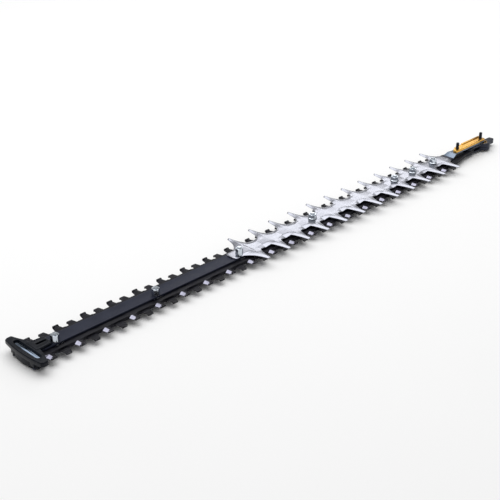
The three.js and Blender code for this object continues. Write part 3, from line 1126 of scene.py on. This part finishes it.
@dataclass
class CombGuard:
    """The pressed finger guard: a ridge runs out along every finger, and the sheet dips at every window.

    The three dips are those of the spine's middle, of its edge and of a finger's flank. Root, waist and foot
    are measured from a finger's axis and from the centre line.
    """

    bench: Bench
    fingers: int = 12
    first: float = 315.5
    pitch: float = 38.0
    tip_y: float = 37.3
    tip_half: float = 2.6
    tip_corner: float = 0.9
    root: Point = (9.6, 12.2)
    waist: Point = (5.1, 18.0)
    foot: Point = (19.0, 9.4)
    end_x: float = 748.0
    tongue_x: float = 282.0
    tongue_round: float = 5.0
    tongue_nose: float = 0.45  # its width at the nose, over its full width
    sheet: float = 0.9
    columns: int = 8
    rows: tuple[int, int] = (6, 16)
    dips: tuple[float, float, float] = (0.5, 2.2, 1.3)
    level_half: float = 6.0  # the spine is level across to here
    sharpness: float = 1.4  # of the ridges

    def flank(self, t: float, root: Point) -> Point:
        """Give a point on a finger's hollow flank.

        Args:
            t: 0 at the window's apex and 1 at the finger's tip.
            root: the apex, from the finger's axis.

        Returns:
            Its place from the finger's axis and from the centre line.
        """
        end = (self.tip_half, self.tip_y - self.tip_corner)
        weights = ((1.0 - t) ** 2, 2.0 * t * (1.0 - t), t * t)
        return tuple(sum(w * p[i] for w, p in zip(weights, (root, self.waist, end))) for i in (0, 1))

    def spine_dip(self, reach: float, y: float) -> float:
        """Say how far the spine's top lies under its ridges.

        Args:
            reach: distance from the nearest finger's axis.
            y: distance from the centre line.

        Returns:
            The dip, deepest half-way between two fingers at the spine's edge.
        """
        middle, edge, _ = self.dips
        hollow = middle + (edge - middle) * ease((y - self.level_half) / (self.root[1] - self.level_half))
        return hollow * min(2.0 * reach / self.pitch, 1.0) ** self.sharpness

    def grid(self, rows: int) -> bpy.types.Object:
        """Add a flat grid from -1 to 1, to be pulled into one patch of the sheet.

        Args:
            rows: how many faces it has across the bar.

        Returns:
            The grid.
        """
        bpy.ops.object.select_all(action="DESELECT")
        bpy.ops.mesh.primitive_grid_add(x_subdivisions=self.columns, y_subdivisions=rows, size=2.0)
        return bpy.context.object

    def half_finger(self, x: float, turn: int, side: int, root: Point) -> bpy.types.Object:
        """Model the sheet from a finger's axis to its flank.

        Args:
            x: the finger's axis.
            turn: -1 towards the nose, 1 towards the drive.
            side: -1 for the near side, 1 for the far one.
            root: where the flank leaves the spine, from the finger's axis.

        Returns:
            The open sheet.
        """
        inner, outer = self.rows
        obj = self.grid(inner + outer + 1)
        for vertex in obj.data.vertices:
            u = (vertex.co.x + 1.0) / 2.0
            row = (vertex.co.y + 1.0) / 2.0 * (inner + outer + 1)
            if row < inner + 0.5:
                width, y = root[0], root[1] * row / inner
                dip = self.spine_dip(u * width, y)
            else:
                t = min((row - inner) / outer, 1.0)
                width, y = self.flank(t, root)
                start = self.spine_dip(root[0], root[1])
                dip = (start + (self.dips[2] - start) * ease(2.0 * t)) * u**self.sharpness
                if row > inner + outer + 0.5:
                    width, y = self.tip_half - self.tip_corner, self.tip_y
            vertex.co = (x + turn * u * width, side * y, LEVEL.comb_top - dip)
        return obj

    def bridge(self, x: float, turn: int, side: int, reach: float) -> bpy.types.Object:
        """Model the spine from a finger's root to half-way to the next one.

        Args:
            x: the finger's axis.
            turn: -1 towards the nose, 1 towards the drive.
            side: -1 for the near side, 1 for the far one.
            reach: where it ends, from the finger's axis.

        Returns:
            The open sheet.
        """
        obj = self.grid(self.rows[0])
        for vertex in obj.data.vertices:
            distance = self.root[0] + (reach - self.root[0]) * (vertex.co.x + 1.0) / 2.0
            y = self.root[1] * (vertex.co.y + 1.0) / 2.0
            vertex.co = (x + turn * distance, side * y, LEVEL.comb_top - self.spine_dip(distance, y))
        return obj

    def tongue(self) -> bpy.types.Object:
        """Model the short tongue in front of the first finger.

        Returns:
            The open sheet.
        """
        x1 = self.first - self.foot[0]
        obj = self.grid(2 * self.rows[0])
        for vertex in obj.data.vertices:
            t, v = (vertex.co.x + 1.0) / 2.0, vertex.co.y
            x = self.tongue_x + (x1 - self.tongue_x) * t
            nose = min((x - self.tongue_x) / self.tongue_round, 1.0)
            widening = (1.0 - self.tongue_nose) * math.sqrt(1.0 - (1.0 - nose) ** 2)
            half = self.foot[1] * (self.tongue_nose + widening)
            z = LEVEL.comb_top - self.spine_dip(self.foot[0], abs(v) * self.foot[1])
            vertex.co = (x, v * half, z)
        return obj

    def build(self) -> None:
        """Model the comb and put it in the frame."""
        bench = self.bench
        parts = [self.tongue()]
        for k in range(self.fingers):
            x = self.first + k * self.pitch
            after = self.end_x - x if k == self.fingers - 1 else self.pitch / 2.0
            for side in (-1, 1):
                parts.append(self.half_finger(x, -1, side, self.root if k else self.foot))
                parts.append(self.half_finger(x, 1, side, self.root))
                parts.append(self.bridge(x, 1, side, after))
                if k:
                    parts.append(self.bridge(x, -1, side, self.pitch / 2.0))
        bench.choose(*parts)
        bpy.ops.object.join()
        comb = parts[0]
        bench.weld(comb, 0.01)
        with bench.editing(comb):
            bpy.ops.mesh.select_all(action="SELECT")
            mesh = bmesh.from_edit_mesh(comb.data)
            if sum(face.normal.z for face in mesh.faces) < 0.0:
                bpy.ops.mesh.flip_normals()
        bench.modify(comb, "SOLIDIFY", thickness=self.sheet, offset=-1.0, use_even_offset=False)
        bench.soften(comb, 0.22, 2, 50.0)
        under = [(x, y) for x, y in FASTENERS if x > self.tongue_x]
        bench.cut_with(comb, [bench.drum("hole", x, y, SCREW_RADIUS + ROOM, 4.0, 9.0) for x, y in under])
        bench.settle(comb, "comb_guard", FIXED, Finish.COMB_SILVER, "comb_silver")


@dataclass
class NoseGuard:
    """The guard round the blades' noses: a cap with a long pocket and its insert, and a boat-shaped jaw.

    The cap is a crosswise wing with a neck that reaches back over the bar. The jaw is a flat deck over a
    keel of two layers, with a lip and two pillars that stand up to the cap.
    """

    bench: Bench
    front_x: float = -28.5
    cap_bow: float = 3.0
    wing_y: float = 35.0
    wing_round: float = 2.0
    wing_front: float = -22.5
    wing_rear: float = -16.5
    back_x: float = -11.4
    fillet: float = 7.0
    fillet_y: float = 18.0
    top: float = 8.2
    cap_low: float = 2.85
    top_round: float = 1.5
    neck_x: float = -9.0
    neck_half: float = 10.0
    neck_top: float = 8.9
    neck_end: float = 7.3
    neck_taper: float = 1.5
    recess: Point = (-9.3, 10.0)
    slot: Point = (-8.6, 5.1)
    slot_half: float = 1.8
    pocket: tuple[float, float, float] = (-23.0, -15.6, 24.0)
    pocket_depth: float = 3.0
    crown_foot: float = 0.5
    crown: float = 2.3
    crown_fall: float = 2.1  # from the middle of the insert to its ends
    jaw_front: float = -28.0
    jaw_half: float = 25.0
    jaw_bow: float = 4.5
    jaw_back: float = -14.0
    jaw_low: float = -8.0
    jaw_high: float = -2.65
    deck_waist: Corner = (-4.0, 12.5, 6.0)
    deck_end: Corner = (22.0, 11.5, 6.0)
    keel_end: Corner = (-5.0, 8.0, 4.0)
    wall: float = 3.0
    pillar_x: Point = (-26.5, -20.3)
    pillar_half: float = 3.4
    screw: Point = (-23.0, 18.0)
    screw_hole: float = 2.2
    screw_seat: float = 3.9

    def pocket_outline(self) -> list[Point]:
        """Lay out the pocket, with its ends round.

        Returns:
            The outline's points.
        """
        x0, x1, half = self.pocket
        radius = (x1 - x0) / 2.0 - 2.0 * ARC_GAP
        return rounded([(x1, half, radius), (x0, half, radius), (x0, -half, radius), (x1, -half, radius)], 8)

    def cap(self) -> None:
        """Model the upper guard and put it in the frame."""
        bench, neck = self.bench, self.neck_half
        side = [
            (self.wing_front, self.wing_y, 0.0),
            (self.wing_rear, self.wing_y, self.wing_round),
            (self.back_x, self.fillet_y, self.fillet),
            (self.neck_x, neck, 0.0),
        ]
        shape = bow(self.wing_y - self.wing_round, self.front_x, self.cap_bow) + side + mirrored(side)
        cap = bench.slab("guard_cap", rounded(shape), self.cap_low, self.top)
        bench.round_edges(cap, lambda edge: lies_over(edge, self.top - 0.1), self.top_round, 4)
        end = self.neck_end
        neck_side = [(self.neck_x - 5.0, -neck, 0.0), (end, -neck + self.neck_taper, 2.5)]
        collar = bench.slab("guard_neck", rounded(neck_side + mirrored(neck_side)), LEVEL.comb, self.neck_top)
        bench.round_edges(collar, lambda edge: lies_over(edge, self.neck_top - 0.1), 0.8, 3)
        bench.combine(cap, "UNION", [collar])
        x0, x1 = self.recess
        recess = [(x0, -20.0), (x1, -20.0), (x1, 20.0), (x0, 20.0)]
        floor = self.top - self.pocket_depth
        cutters = [
            bench.slab("recess", recess, 0.0, LEVEL.comb),
            bench.slab("slot", stadium(*self.slot, self.slot_half), LEVEL.comb - 1.0, 20.0),
            bench.slab("pocket", self.pocket_outline(), floor, self.top + 5.0),
        ]
        x, reach = self.screw
        cutters += [bench.drum("hole", x, y, self.screw_hole, 0.0, floor - 0.9, 24) for y in (-reach, reach)]
        bench.combine(cap, "DIFFERENCE", cutters)
        bench.soften(cap, 0.3, 2, 48.0)
        bench.settle(cap, "tip_guard_upper", FIXED, Finish.GUARD_CASTING, "guard_casting")

    def insert(self) -> None:
        """Model the crowned insert as a turned lens pulled apart, and put it in the frame."""
        bench = self.bench
        x0, x1, half = self.pocket
        radius, low = (x1 - x0) / 2.0 - ROOM, self.top - self.pocket_depth + ROOM
        foot, steps = low + self.crown_foot, 12
        angles = [math.pi / 2.0 * k / steps for k in range(steps)]
        arc = [(radius * math.cos(a), foot + self.crown * math.sin(a)) for a in angles]
        profile = [(0.0, low), (radius, low), *arc, (0.0, foot + self.crown)]
        piece = bench.turned("guard_insert", 0.0, 0.0, profile, 48)
        piece.data.transform(Matrix.Rotation(math.pi / 48.0, 4, "Z"))
        for vertex in piece.data.vertices:
            if abs(vertex.co.y) > 0.001:
                vertex.co.y += math.copysign(half - radius - ROOM, vertex.co.y)
        for vertex in piece.data.vertices:
            if vertex.co.z > foot - 0.1:
                vertex.co.z = max(vertex.co.z - self.crown_fall * (vertex.co.y / half) ** 2, foot - 0.2)
        piece.data.transform(Matrix.Translation(((x0 + x1) / 2.0, 0.0, 0.0)))
        bench.settle(piece, "tip_guard_insert", FIXED, Finish.GUARD_INSERT, "guard_insert")

    def hull(self, drawn_in: float, z0: float, z1: float, flare: float) -> bpy.types.Object:
        """Model one layer of the boat-shaped jaw.

        Args:
            drawn_in: how far its outline lies inside the deck's.
            z0: its underside.
            z1: its top.
            flare: its underside's size over its top's.

        Returns:
            The layer.
        """
        half, back = self.jaw_half - drawn_in, drawn_in * 0.25
        side = [(self.jaw_back, half - 1.0, 3.0), self.keel_end]
        shape = bow(half, self.jaw_front + back, self.jaw_bow - back) + side + mirrored(side)
        layer = self.bench.slab("jaw_layer", rounded(shape), z0, z1)
        with self.bench.editing(layer):
            self.bench.pick(layer, Pick.FACES, lambda face: face.normal.z < -0.9)
            bpy.ops.transform.resize(value=(flare, flare, 1.0), center_override=(-16.0, 0.0, 0.0))
        return layer

    def jaw(self) -> None:
        """Model the lower jaw and put it in the frame."""
        bench, half, front = self.bench, self.jaw_half, self.jaw_front
        side = [(self.jaw_back, half - 1.0, 3.0), self.deck_waist, self.deck_end]
        deck = bow(half, front, self.jaw_bow) + side + mirrored(side)
        jaw = bench.slab("guard_jaw", rounded(deck), LEVEL.washer, self.jaw_high)
        mid = (LEVEL.washer + self.jaw_low) / 2.0
        layers = [
            self.hull(0.6, mid, LEVEL.washer + 0.2, 0.93),
            self.hull(2.4, self.jaw_low, mid + 0.1, 0.8),
        ]
        lip = bow(half - 1.0, front, self.jaw_bow)
        lip += [(x + self.wall, y, 0.0) for x, y, _ in reversed(lip)]
        foot, head = self.jaw_high - 0.2, LEVEL.bar - 0.1
        layers.append(bench.slab("lip", rounded(lip), foot, head))
        x, reach = self.screw
        (x0, x1), width = self.pillar_x, self.pillar_half
        for y in (-reach, reach):
            pillar = [(x0, y - width, 0.0), (x1, y - width, 1.0), (x1, y + width, 1.0), (x0, y + width, 0.0)]
            layers.append(bench.slab("pillar", rounded(pillar), foot, head))
        bench.combine(jaw, "UNION", layers)
        cutters = [bench.drum("hole", *FASTENERS[0], SCREW_RADIUS + ROOM, -10.0, 0.0)]
        for y in (-reach, reach):
            cutters.append(bench.drum("hole", x, y, self.screw_hole, -10.0, 4.0, 24))
            cutters.append(bench.drum("seat", x, y, self.screw_seat, -10.0, LEVEL.washer + 0.4, 32))
        bench.combine(jaw, "DIFFERENCE", cutters)
        bench.soften(jaw, 0.35, 3, 38.0)
        bench.settle(jaw, "tip_guard_lower", FIXED, Finish.GUARD_CASTING, "guard_casting")

    def screws(self) -> None:
        """Model the two screws that hold the jaw on and put them in the frame."""
        bench = self.bench
        x, reach = self.screw
        seat = LEVEL.washer + 0.1
        low, tip = seat - 2.2, self.top - self.pocket_depth - 1.2
        head, shank = self.screw_seat - ROOM, self.screw_hole - ROOM
        profile = [(0.0, low), (head - 0.5, low), (head, low + 0.5), (head, seat)]
        profile += [(shank, seat), (shank, tip - 0.5), (shank - 0.5, tip), (0.0, tip)]
        for side, y in (("left", reach), ("right", -reach)):
            screw = bench.turned(f"guard_screw_{side}", x, y, profile, 32)
            bench.combine(screw, "DIFFERENCE", [bench.drum("socket", x, y, 1.45, low - 1.0, low + 1.1, 6)])
            bench.soften(screw, 0.12, 2, 50.0)
            bench.settle(screw, f"tip_guard_screw_{side}", FIXED, Finish.BLACK_STEEL, "black_steel")

    def build(self) -> None:
        """Model the whole guard."""
        self.cap()
        self.insert()
        self.jaw()
        self.screws()


def threaded(radius: float, low: float, high: float, pitch: float) -> list[Point]:
    """Give a thread's profile as a row of V grooves.

    Args:
        radius: its outer radius.
        low: where the grooves start.
        high: where they end.
        pitch: from one groove to the next.

    Returns:
        Radius and height of each corner, from low to high.
    """
    turns = int((high - low) / pitch)
    depth = 0.5 * pitch
    points: list[Point] = []
    for k in range(turns):
        z = low + k * pitch
        points += [(radius, z), (radius, z + 0.2 * pitch), (radius - depth, z + 0.6 * pitch)]
    return points + [(radius, low + turns * pitch)]


@dataclass
class GuideFasteners:
    """The seven guide screws with their nuts, washers and sleeves. The first nuts are tall and plain."""

    bench: Bench
    flange_radius: float = 6.3
    flange: float = 1.4
    across_flats: float = 10.0
    height: float = 6.2
    proud: float = 1.7
    head_radius: float = 5.5
    socket_radius: float = 2.65
    washer_radius: float = 8.0
    washer: float = 1.6
    tall_count: int = 3
    tall_flats: float = 8.8
    tall_height: float = 8.6

    def nut(self, across_flats: float, height: float, flanged: bool) -> bpy.types.Object:
        """Model a nut standing at height 0 on the Z axis.

        Args:
            across_flats: the hexagon's width.
            height: the nut's height.
            flanged: whether it has a flange at its foot.

        Returns:
            The nut.
        """
        bench = self.bench
        corner = across_flats / math.sqrt(3.0)
        nut = bench.drum("nut", 0.0, 0.0, corner, 0.5 if flanged else 0.0, height, 6)
        chamfer = [(0.0, 0.0), (corner + 0.4, 0.0), (corner + 0.4, height - 0.9)]
        chamfer += [(corner - 0.75, height), (0.0, height)]
        bench.combine(nut, "INTERSECT", [bench.turned("chamfer", 0.0, 0.0, chamfer, 64)])
        if flanged:
            rim = self.flange_radius
            skirt = [(0.0, 0.0), (rim - 0.2, 0.0), (rim, 0.25), (rim - 0.1, 0.6)]
            skirt += [(across_flats / 2.0 + 0.2, self.flange), (0.0, self.flange)]
            bench.combine(nut, "UNION", [bench.turned("skirt", 0.0, 0.0, skirt, 64)])
        mouth = height - 0.5
        bore = [(0.0, -1.0), (SCREW_RADIUS + 0.12, -1.0), (SCREW_RADIUS + 0.12, mouth)]
        bore += [(SCREW_RADIUS + 1.0, mouth + 0.9), (0.0, mouth + 0.9)]
        bench.combine(nut, "DIFFERENCE", [bench.turned("bore", 0.0, 0.0, bore, 48)])
        bench.soften(nut, 0.12, 2, 28.0)
        return nut

    def screw(self, tip: float) -> bpy.types.Object:
        """Model a socket-head screw on the Z axis, head down.

        Args:
            tip: the height of its threaded end.

        Returns:
            The screw.
        """
        bench, low, seat, head = self.bench, LEVEL.head, LEVEL.head_seat, self.head_radius
        profile = [(0.0, low), (head - 0.6, low), (head, low + 0.7), (head, seat)]
        profile += [(SCREW_RADIUS, seat), *threaded(SCREW_RADIUS, tip - 5.0, tip - 0.6, 1.0)]
        profile += [(SCREW_RADIUS - 0.6, tip), (0.0, tip)]
        screw = bench.turned("screw", 0.0, 0.0, profile)
        socket = bench.drum("socket", 0.0, 0.0, self.socket_radius, low - 1.0, low + 1.8, 6)
        bench.combine(screw, "DIFFERENCE", [socket])
        return screw

    def ring(self, name: str, outer: float, z0: float, z1: float, edge: float) -> bpy.types.Object:
        """Model a ring on the Z axis that a screw goes through.

        Args:
            name: the object's name.
            outer: its outer radius.
            z0: its underside.
            z1: its top.
            edge: the chamfer on its four edges.

        Returns:
            The ring.
        """
        inner = SCREW_RADIUS + ROOM
        profile = [(inner + edge, z0), (outer - edge, z0), (outer, z0 + edge), (outer, z1 - edge)]
        profile += [(outer - edge, z1), (inner + edge, z1), (inner, z1 - edge), (inner, z0 + edge)]
        return self.bench.turned(name, 0.0, 0.0, profile)

    def build(self) -> None:
        """Model one of each and copy it to every station."""
        bench, zinc = self.bench, Finish.BRIGHT_ZINC
        tall_nut = self.nut(self.tall_flats, self.tall_height, flanged=False)
        flange_nut = self.nut(self.across_flats, self.height, flanged=True)
        washer = self.ring("washer", self.washer_radius, LEVEL.washer, LEVEL.washer + self.washer, 0.2)
        sleeve = self.ring("sleeve", SLEEVE_RADIUS, -LEVEL.blade_high, LEVEL.blade_high, 0.15)
        for number, (x, y) in enumerate(FASTENERS, start=1):
            tall = number <= self.tall_count
            nut, height = (tall_nut, self.tall_height) if tall else (flange_nut, self.height)
            seat = ROOM + (LEVEL.comb_top if x > CombGuard.tongue_x else LEVEL.bar_top)
            screw = self.screw(seat + height + self.proud)
            screw.data.transform(Matrix.Translation((x, y, 0.0)))
            pieces = {
                f"bar_nut_{number}": bench.copied(nut, "nut", x, y, seat),
                f"bar_screw_{number}": screw,
                f"guide_sleeve_{number}": bench.copied(sleeve, "sleeve", x, y),
            }
            if number > 1:
                pieces[f"bar_washer_{number}"] = bench.copied(washer, "washer", x, y)
            for node, piece in pieces.items():
                bench.settle(piece, node, FIXED, zinc, "bright_zinc")
        for pattern in (tall_nut, flange_nut, washer, sleeve):
            bpy.data.objects.remove(pattern)


@dataclass
class MountingEnd:
    """The gold plate on the raised end of the bar, and the two studs through it."""

    bench: Bench
    start_x: float = 770.5
    end_x: float = 850.0
    half: float = 6.2
    ridge_x: Point = (800.0, 848.5)
    ridge_width: float = 3.0
    ridge_rise: float = 1.5
    stud_top: float = 22.4

    def plate(self) -> None:
        """Model the plate and put it in the frame."""
        bench, half = self.bench, self.half
        shape = [
            (self.start_x, -half, 1.5), (self.end_x, -half, 1.5), (self.end_x, half, 1.5),
            (self.start_x + 12.0, half, 3.0), (self.start_x, half - 5.5, 3.0),
        ]
        plate = bench.slab("plate", rounded(shape), LEVEL.plate, LEVEL.plate_top)
        (x0, x1), y0, top = self.ridge_x, half - self.ridge_width, LEVEL.plate_top
        rib = [(x0, y0), (x1, y0), (x1, half), (x0, half)]
        bench.combine(plate, "UNION", [bench.slab("rib", rib, top - 0.5, top + self.ridge_rise)])
        bench.soften(plate, 0.45, 3, 40.0)
        bench.cut_with(plate, [bench.drum("hole", x, 0.0, STUD_RADIUS + ROOM, 0.0, 20.0) for x in STUD_X])
        bench.settle(plate, "mount_plate", FIXED, Finish.YELLOW_ZINC, "yellow_zinc")

    def studs(self) -> None:
        """Model the two studs and put them in the frame."""
        radius, top = STUD_RADIUS, self.stud_top
        profile = [(0.0, LEVEL.raised), (radius, LEVEL.raised)]
        profile += threaded(radius, LEVEL.plate_top + 0.4, top - 0.6, 0.8)
        profile += [(radius - 0.6, top), (0.0, top)]
        for place, x in zip(("front", "rear"), STUD_X):
            stud = self.bench.turned(f"stud_{place}", x, 0.0, profile)
            self.bench.settle(stud, f"mount_stud_{place}", FIXED, Finish.BLACK_STEEL, "black_steel")

    def build(self) -> None:
        """Model the plate and its studs."""
        self.plate()
        self.studs()


@dataclass
class DriveRod:
    """One rod from a blade's tail to its eccentric, with its pin and bush."""

    bench: Bench
    side: str
    ring_x: float = 852.0
    ring_radius: float = 13.5
    bore: float = 9.0
    small_end: float = 7.4
    arm_half: float = 5.0
    arm_flare: float = 2.0
    lap_start: float = 838.0  # ahead of this the rod lies only on the blade's tail
    lug_end: float = 881.0
    lug_half: float = 4.6
    lug_height: float = 3.4
    bush: Point = (8.7, 7.3)
    oil_groove: float = 0.35

    def span(self, low: float, high: float) -> Point:
        """Give two heights for this side: the lower rod lies the other way up."""
        return (low, high) if self.side == "upper" else (-high, -low)

    def rod(self) -> None:
        """Model the rod and put it in the frame."""
        bench, low, high = self.bench, LEVEL.rod_low, LEVEL.rod_high
        lap, beyond = LEVEL.blade_high + ROOM, 40.0
        body = bench.drum("ring", self.ring_x, 0.0, self.ring_radius, *self.span(low, high), 72)
        x0, x1 = self.lap_start - beyond, self.lap_start
        front = [(x0, -beyond), (x1, -beyond), (x1, beyond), (x0, beyond)]
        bench.combine(body, "DIFFERENCE", [bench.slab("front", front, -beyond, beyond)])
        half, flared = self.arm_half, self.arm_half + self.arm_flare
        arm = [(PIN_X, -half), (self.ring_x, -flared), (self.ring_x, flared), (PIN_X, half)]
        lug_side = [(self.ring_x, -self.lug_half, 0.0), (self.lug_end, -self.lug_half, 2.0)]
        lug = rounded(lug_side + mirrored(lug_side))
        parts = [
            bench.drum("small_end", PIN_X, 0.0, self.small_end, *self.span(lap, high)),
            bench.slab("arm", arm, *self.span(lap, high)),
            bench.slab("lug", lug, *self.span(low, low + self.lug_height)),
        ]
        bench.combine(body, "UNION", parts)
        bores = [
            bench.drum("bore", self.ring_x, 0.0, self.bore, -beyond, beyond, 64),
            bench.drum("bore", PIN_X, 0.0, SCREW_RADIUS + ROOM, -beyond, beyond, 40),
        ]
        bench.cut_with(body, bores)
        bench.soften(body, 0.35, 2, 45.0)
        unit = f"{self.side}_rod_unit"
        bench.settle(body, f"{self.side}_rod", unit, Finish.BLACK_STEEL, "black_steel")

    def pin(self) -> None:
        """Model the pin in the blade's tail and put it in the frame."""
        z0, z1 = self.span(LEVEL.rod_low, LEVEL.rod_high)
        radius, edge = SCREW_RADIUS, 0.4
        profile = [(0.0, z0), (radius - edge, z0), (radius, z0 + edge)]
        profile += [(radius, z1 - edge), (radius - edge, z1), (0.0, z1)]
        pin = self.bench.turned("pin", PIN_X, 0.0, profile)
        unit = f"{self.side}_blade_unit"
        self.bench.settle(pin, f"{self.side}_rod_pin", unit, Finish.BRIGHT_ZINC, "bright_zinc")

    def bearing(self) -> None:
        """Model the bush in the ring, with an oil groove, and put it in the frame."""
        outer, inner = self.bush
        z0, z1 = self.span(LEVEL.rod_low + 0.2, LEVEL.rod_high - 0.2)
        mid = (z0 + z1) / 2.0
        profile = [(inner + 0.3, z0), (outer - 0.2, z0), (outer, z0 + 0.2), (outer, z1 - 0.2)]
        profile += [(outer - 0.2, z1), (inner + 0.3, z1), (inner, z1 - 0.3), (inner, mid + 0.5)]
        profile += [(inner + self.oil_groove, mid), (inner, mid - 0.5), (inner, z0 + 0.3)]
        bush = self.bench.turned("bush", self.ring_x, 0.0, profile, 64)
        unit = f"{self.side}_rod_unit"
        self.bench.settle(bush, f"{self.side}_rod_bush", unit, Finish.BUSH_BRONZE, "bush_bronze")

    def build(self) -> None:
        """Model the rod, its pin and its bush."""
        self.rod()
        self.pin()
        self.bearing()


# ---------------------------------------------------------------- studio


@dataclass(frozen=True)
class SoftBox:
    """One large area light."""

    name: str
    place: tuple[float, float, float]
    size: Point
    power: float


@dataclass
class Studio:
    """The camera, the pale floor and the soft light.

    The aim is in the object's millimetres, and the distance, the floor and the lights are in metres.
    """

    datum: Datum
    azimuth: float = -45.35
    elevation: float = 27.2
    distance: float = 1.2673
    lens: float = 71.58
    aim: tuple[float, float, float] = (314.45, -3.3, 5.4)
    floor_size: float = 12.0
    floor_gap: float = 0.0002
    room_light: float = 0.42
    lights: tuple[SoftBox, ...] = field(
        default_factory=lambda: (
            SoftBox("overhead", (0.2, 0.6, 2.2), (3.6, 2.8), 52.0),
            SoftBox("right_rear", (1.7, 1.4, 1.05), (1.3, 0.4), 3.0),
        )
    )

    def camera(self) -> None:
        """Place the camera on the view's line."""
        azimuth, elevation = math.radians(self.azimuth), math.radians(self.elevation)
        level = math.cos(elevation)
        back = Vector((math.sin(azimuth) * level, -math.cos(azimuth) * level, math.sin(elevation)))
        data = bpy.data.cameras.new("view")
        data.lens = self.lens
        data.clip_start = 0.05
        camera = bpy.data.objects.new("view", data)
        bpy.context.scene.collection.objects.link(camera)
        camera.location = self.datum.point(*self.aim) + back * self.distance
        camera.rotation_euler = back.to_track_quat("Z", "Y").to_euler()
        bpy.context.scene.camera = camera

    def floor(self) -> None:
        """Lay the floor under the object's lowest point."""
        bpy.ops.object.select_all(action="DESELECT")
        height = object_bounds()[0][2] - self.floor_gap
        bpy.ops.mesh.primitive_plane_add(size=self.floor_size, location=(0.0, 0.0, height))
        floor = bpy.context.object
        floor.name = "floor"
        shader = Shader("pale_floor")
        cloud = shader.noise(3.0)
        shader.set(Base_Color=shader.mix(cloud, (0.96, 0.96, 0.96), (0.98, 0.98, 0.98)), Roughness=0.9)
        floor.data.materials.append(shader.material)
        floor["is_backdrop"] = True

    def light(self) -> None:
        """Hang the soft boxes and brighten the room."""
        for box in self.lights:
            data = bpy.data.lights.new(box.name, "AREA")
            data.shape = "RECTANGLE"
            data.size, data.size_y = box.size
            data.energy = box.power
            lamp = bpy.data.objects.new(box.name, data)
            bpy.context.scene.collection.objects.link(lamp)
            lamp.location = box.place
            lamp.rotation_euler = Vector(box.place).to_track_quat("Z", "Y").to_euler()
        world = bpy.data.worlds.new("room")
        bpy.context.scene.world = world
        world.use_nodes = True
        background = world.node_tree.nodes["Background"]
        background.inputs["Color"].default_value = (1.0, 1.0, 1.0, 1.0)
        background.inputs["Strength"].default_value = self.room_light
        bpy.context.scene.view_settings.view_transform = "Standard"

    def build(self) -> None:
        """Set up the whole studio."""
        self.camera()
        self.floor()
        self.light()


def main() -> None:
    """Build every sub-assembly around the frame."""
    logging.basicConfig(level=logging.INFO, format="%(message)s")
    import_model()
    datum = Datum.from_frame(ToothedBlade.nose[0], LEVEL.blade_low)
    Studio(datum).build()
    bench = Bench(datum, Finishes())
    ToothedBlade(bench, "upper", FIRST_TOOTH).build()
    ToothedBlade(bench, "lower", FIRST_TOOTH + ToothedBlade.pitch / 2.0).build()
    GuideBar(bench).build()
    CombGuard(bench).build()
    NoseGuard(bench).build()
    GuideFasteners(bench).build()
    MountingEnd(bench).build()
    for side in ("upper", "lower"):
        DriveRod(bench, side).build()


if __name__ == "__main__":
    main()
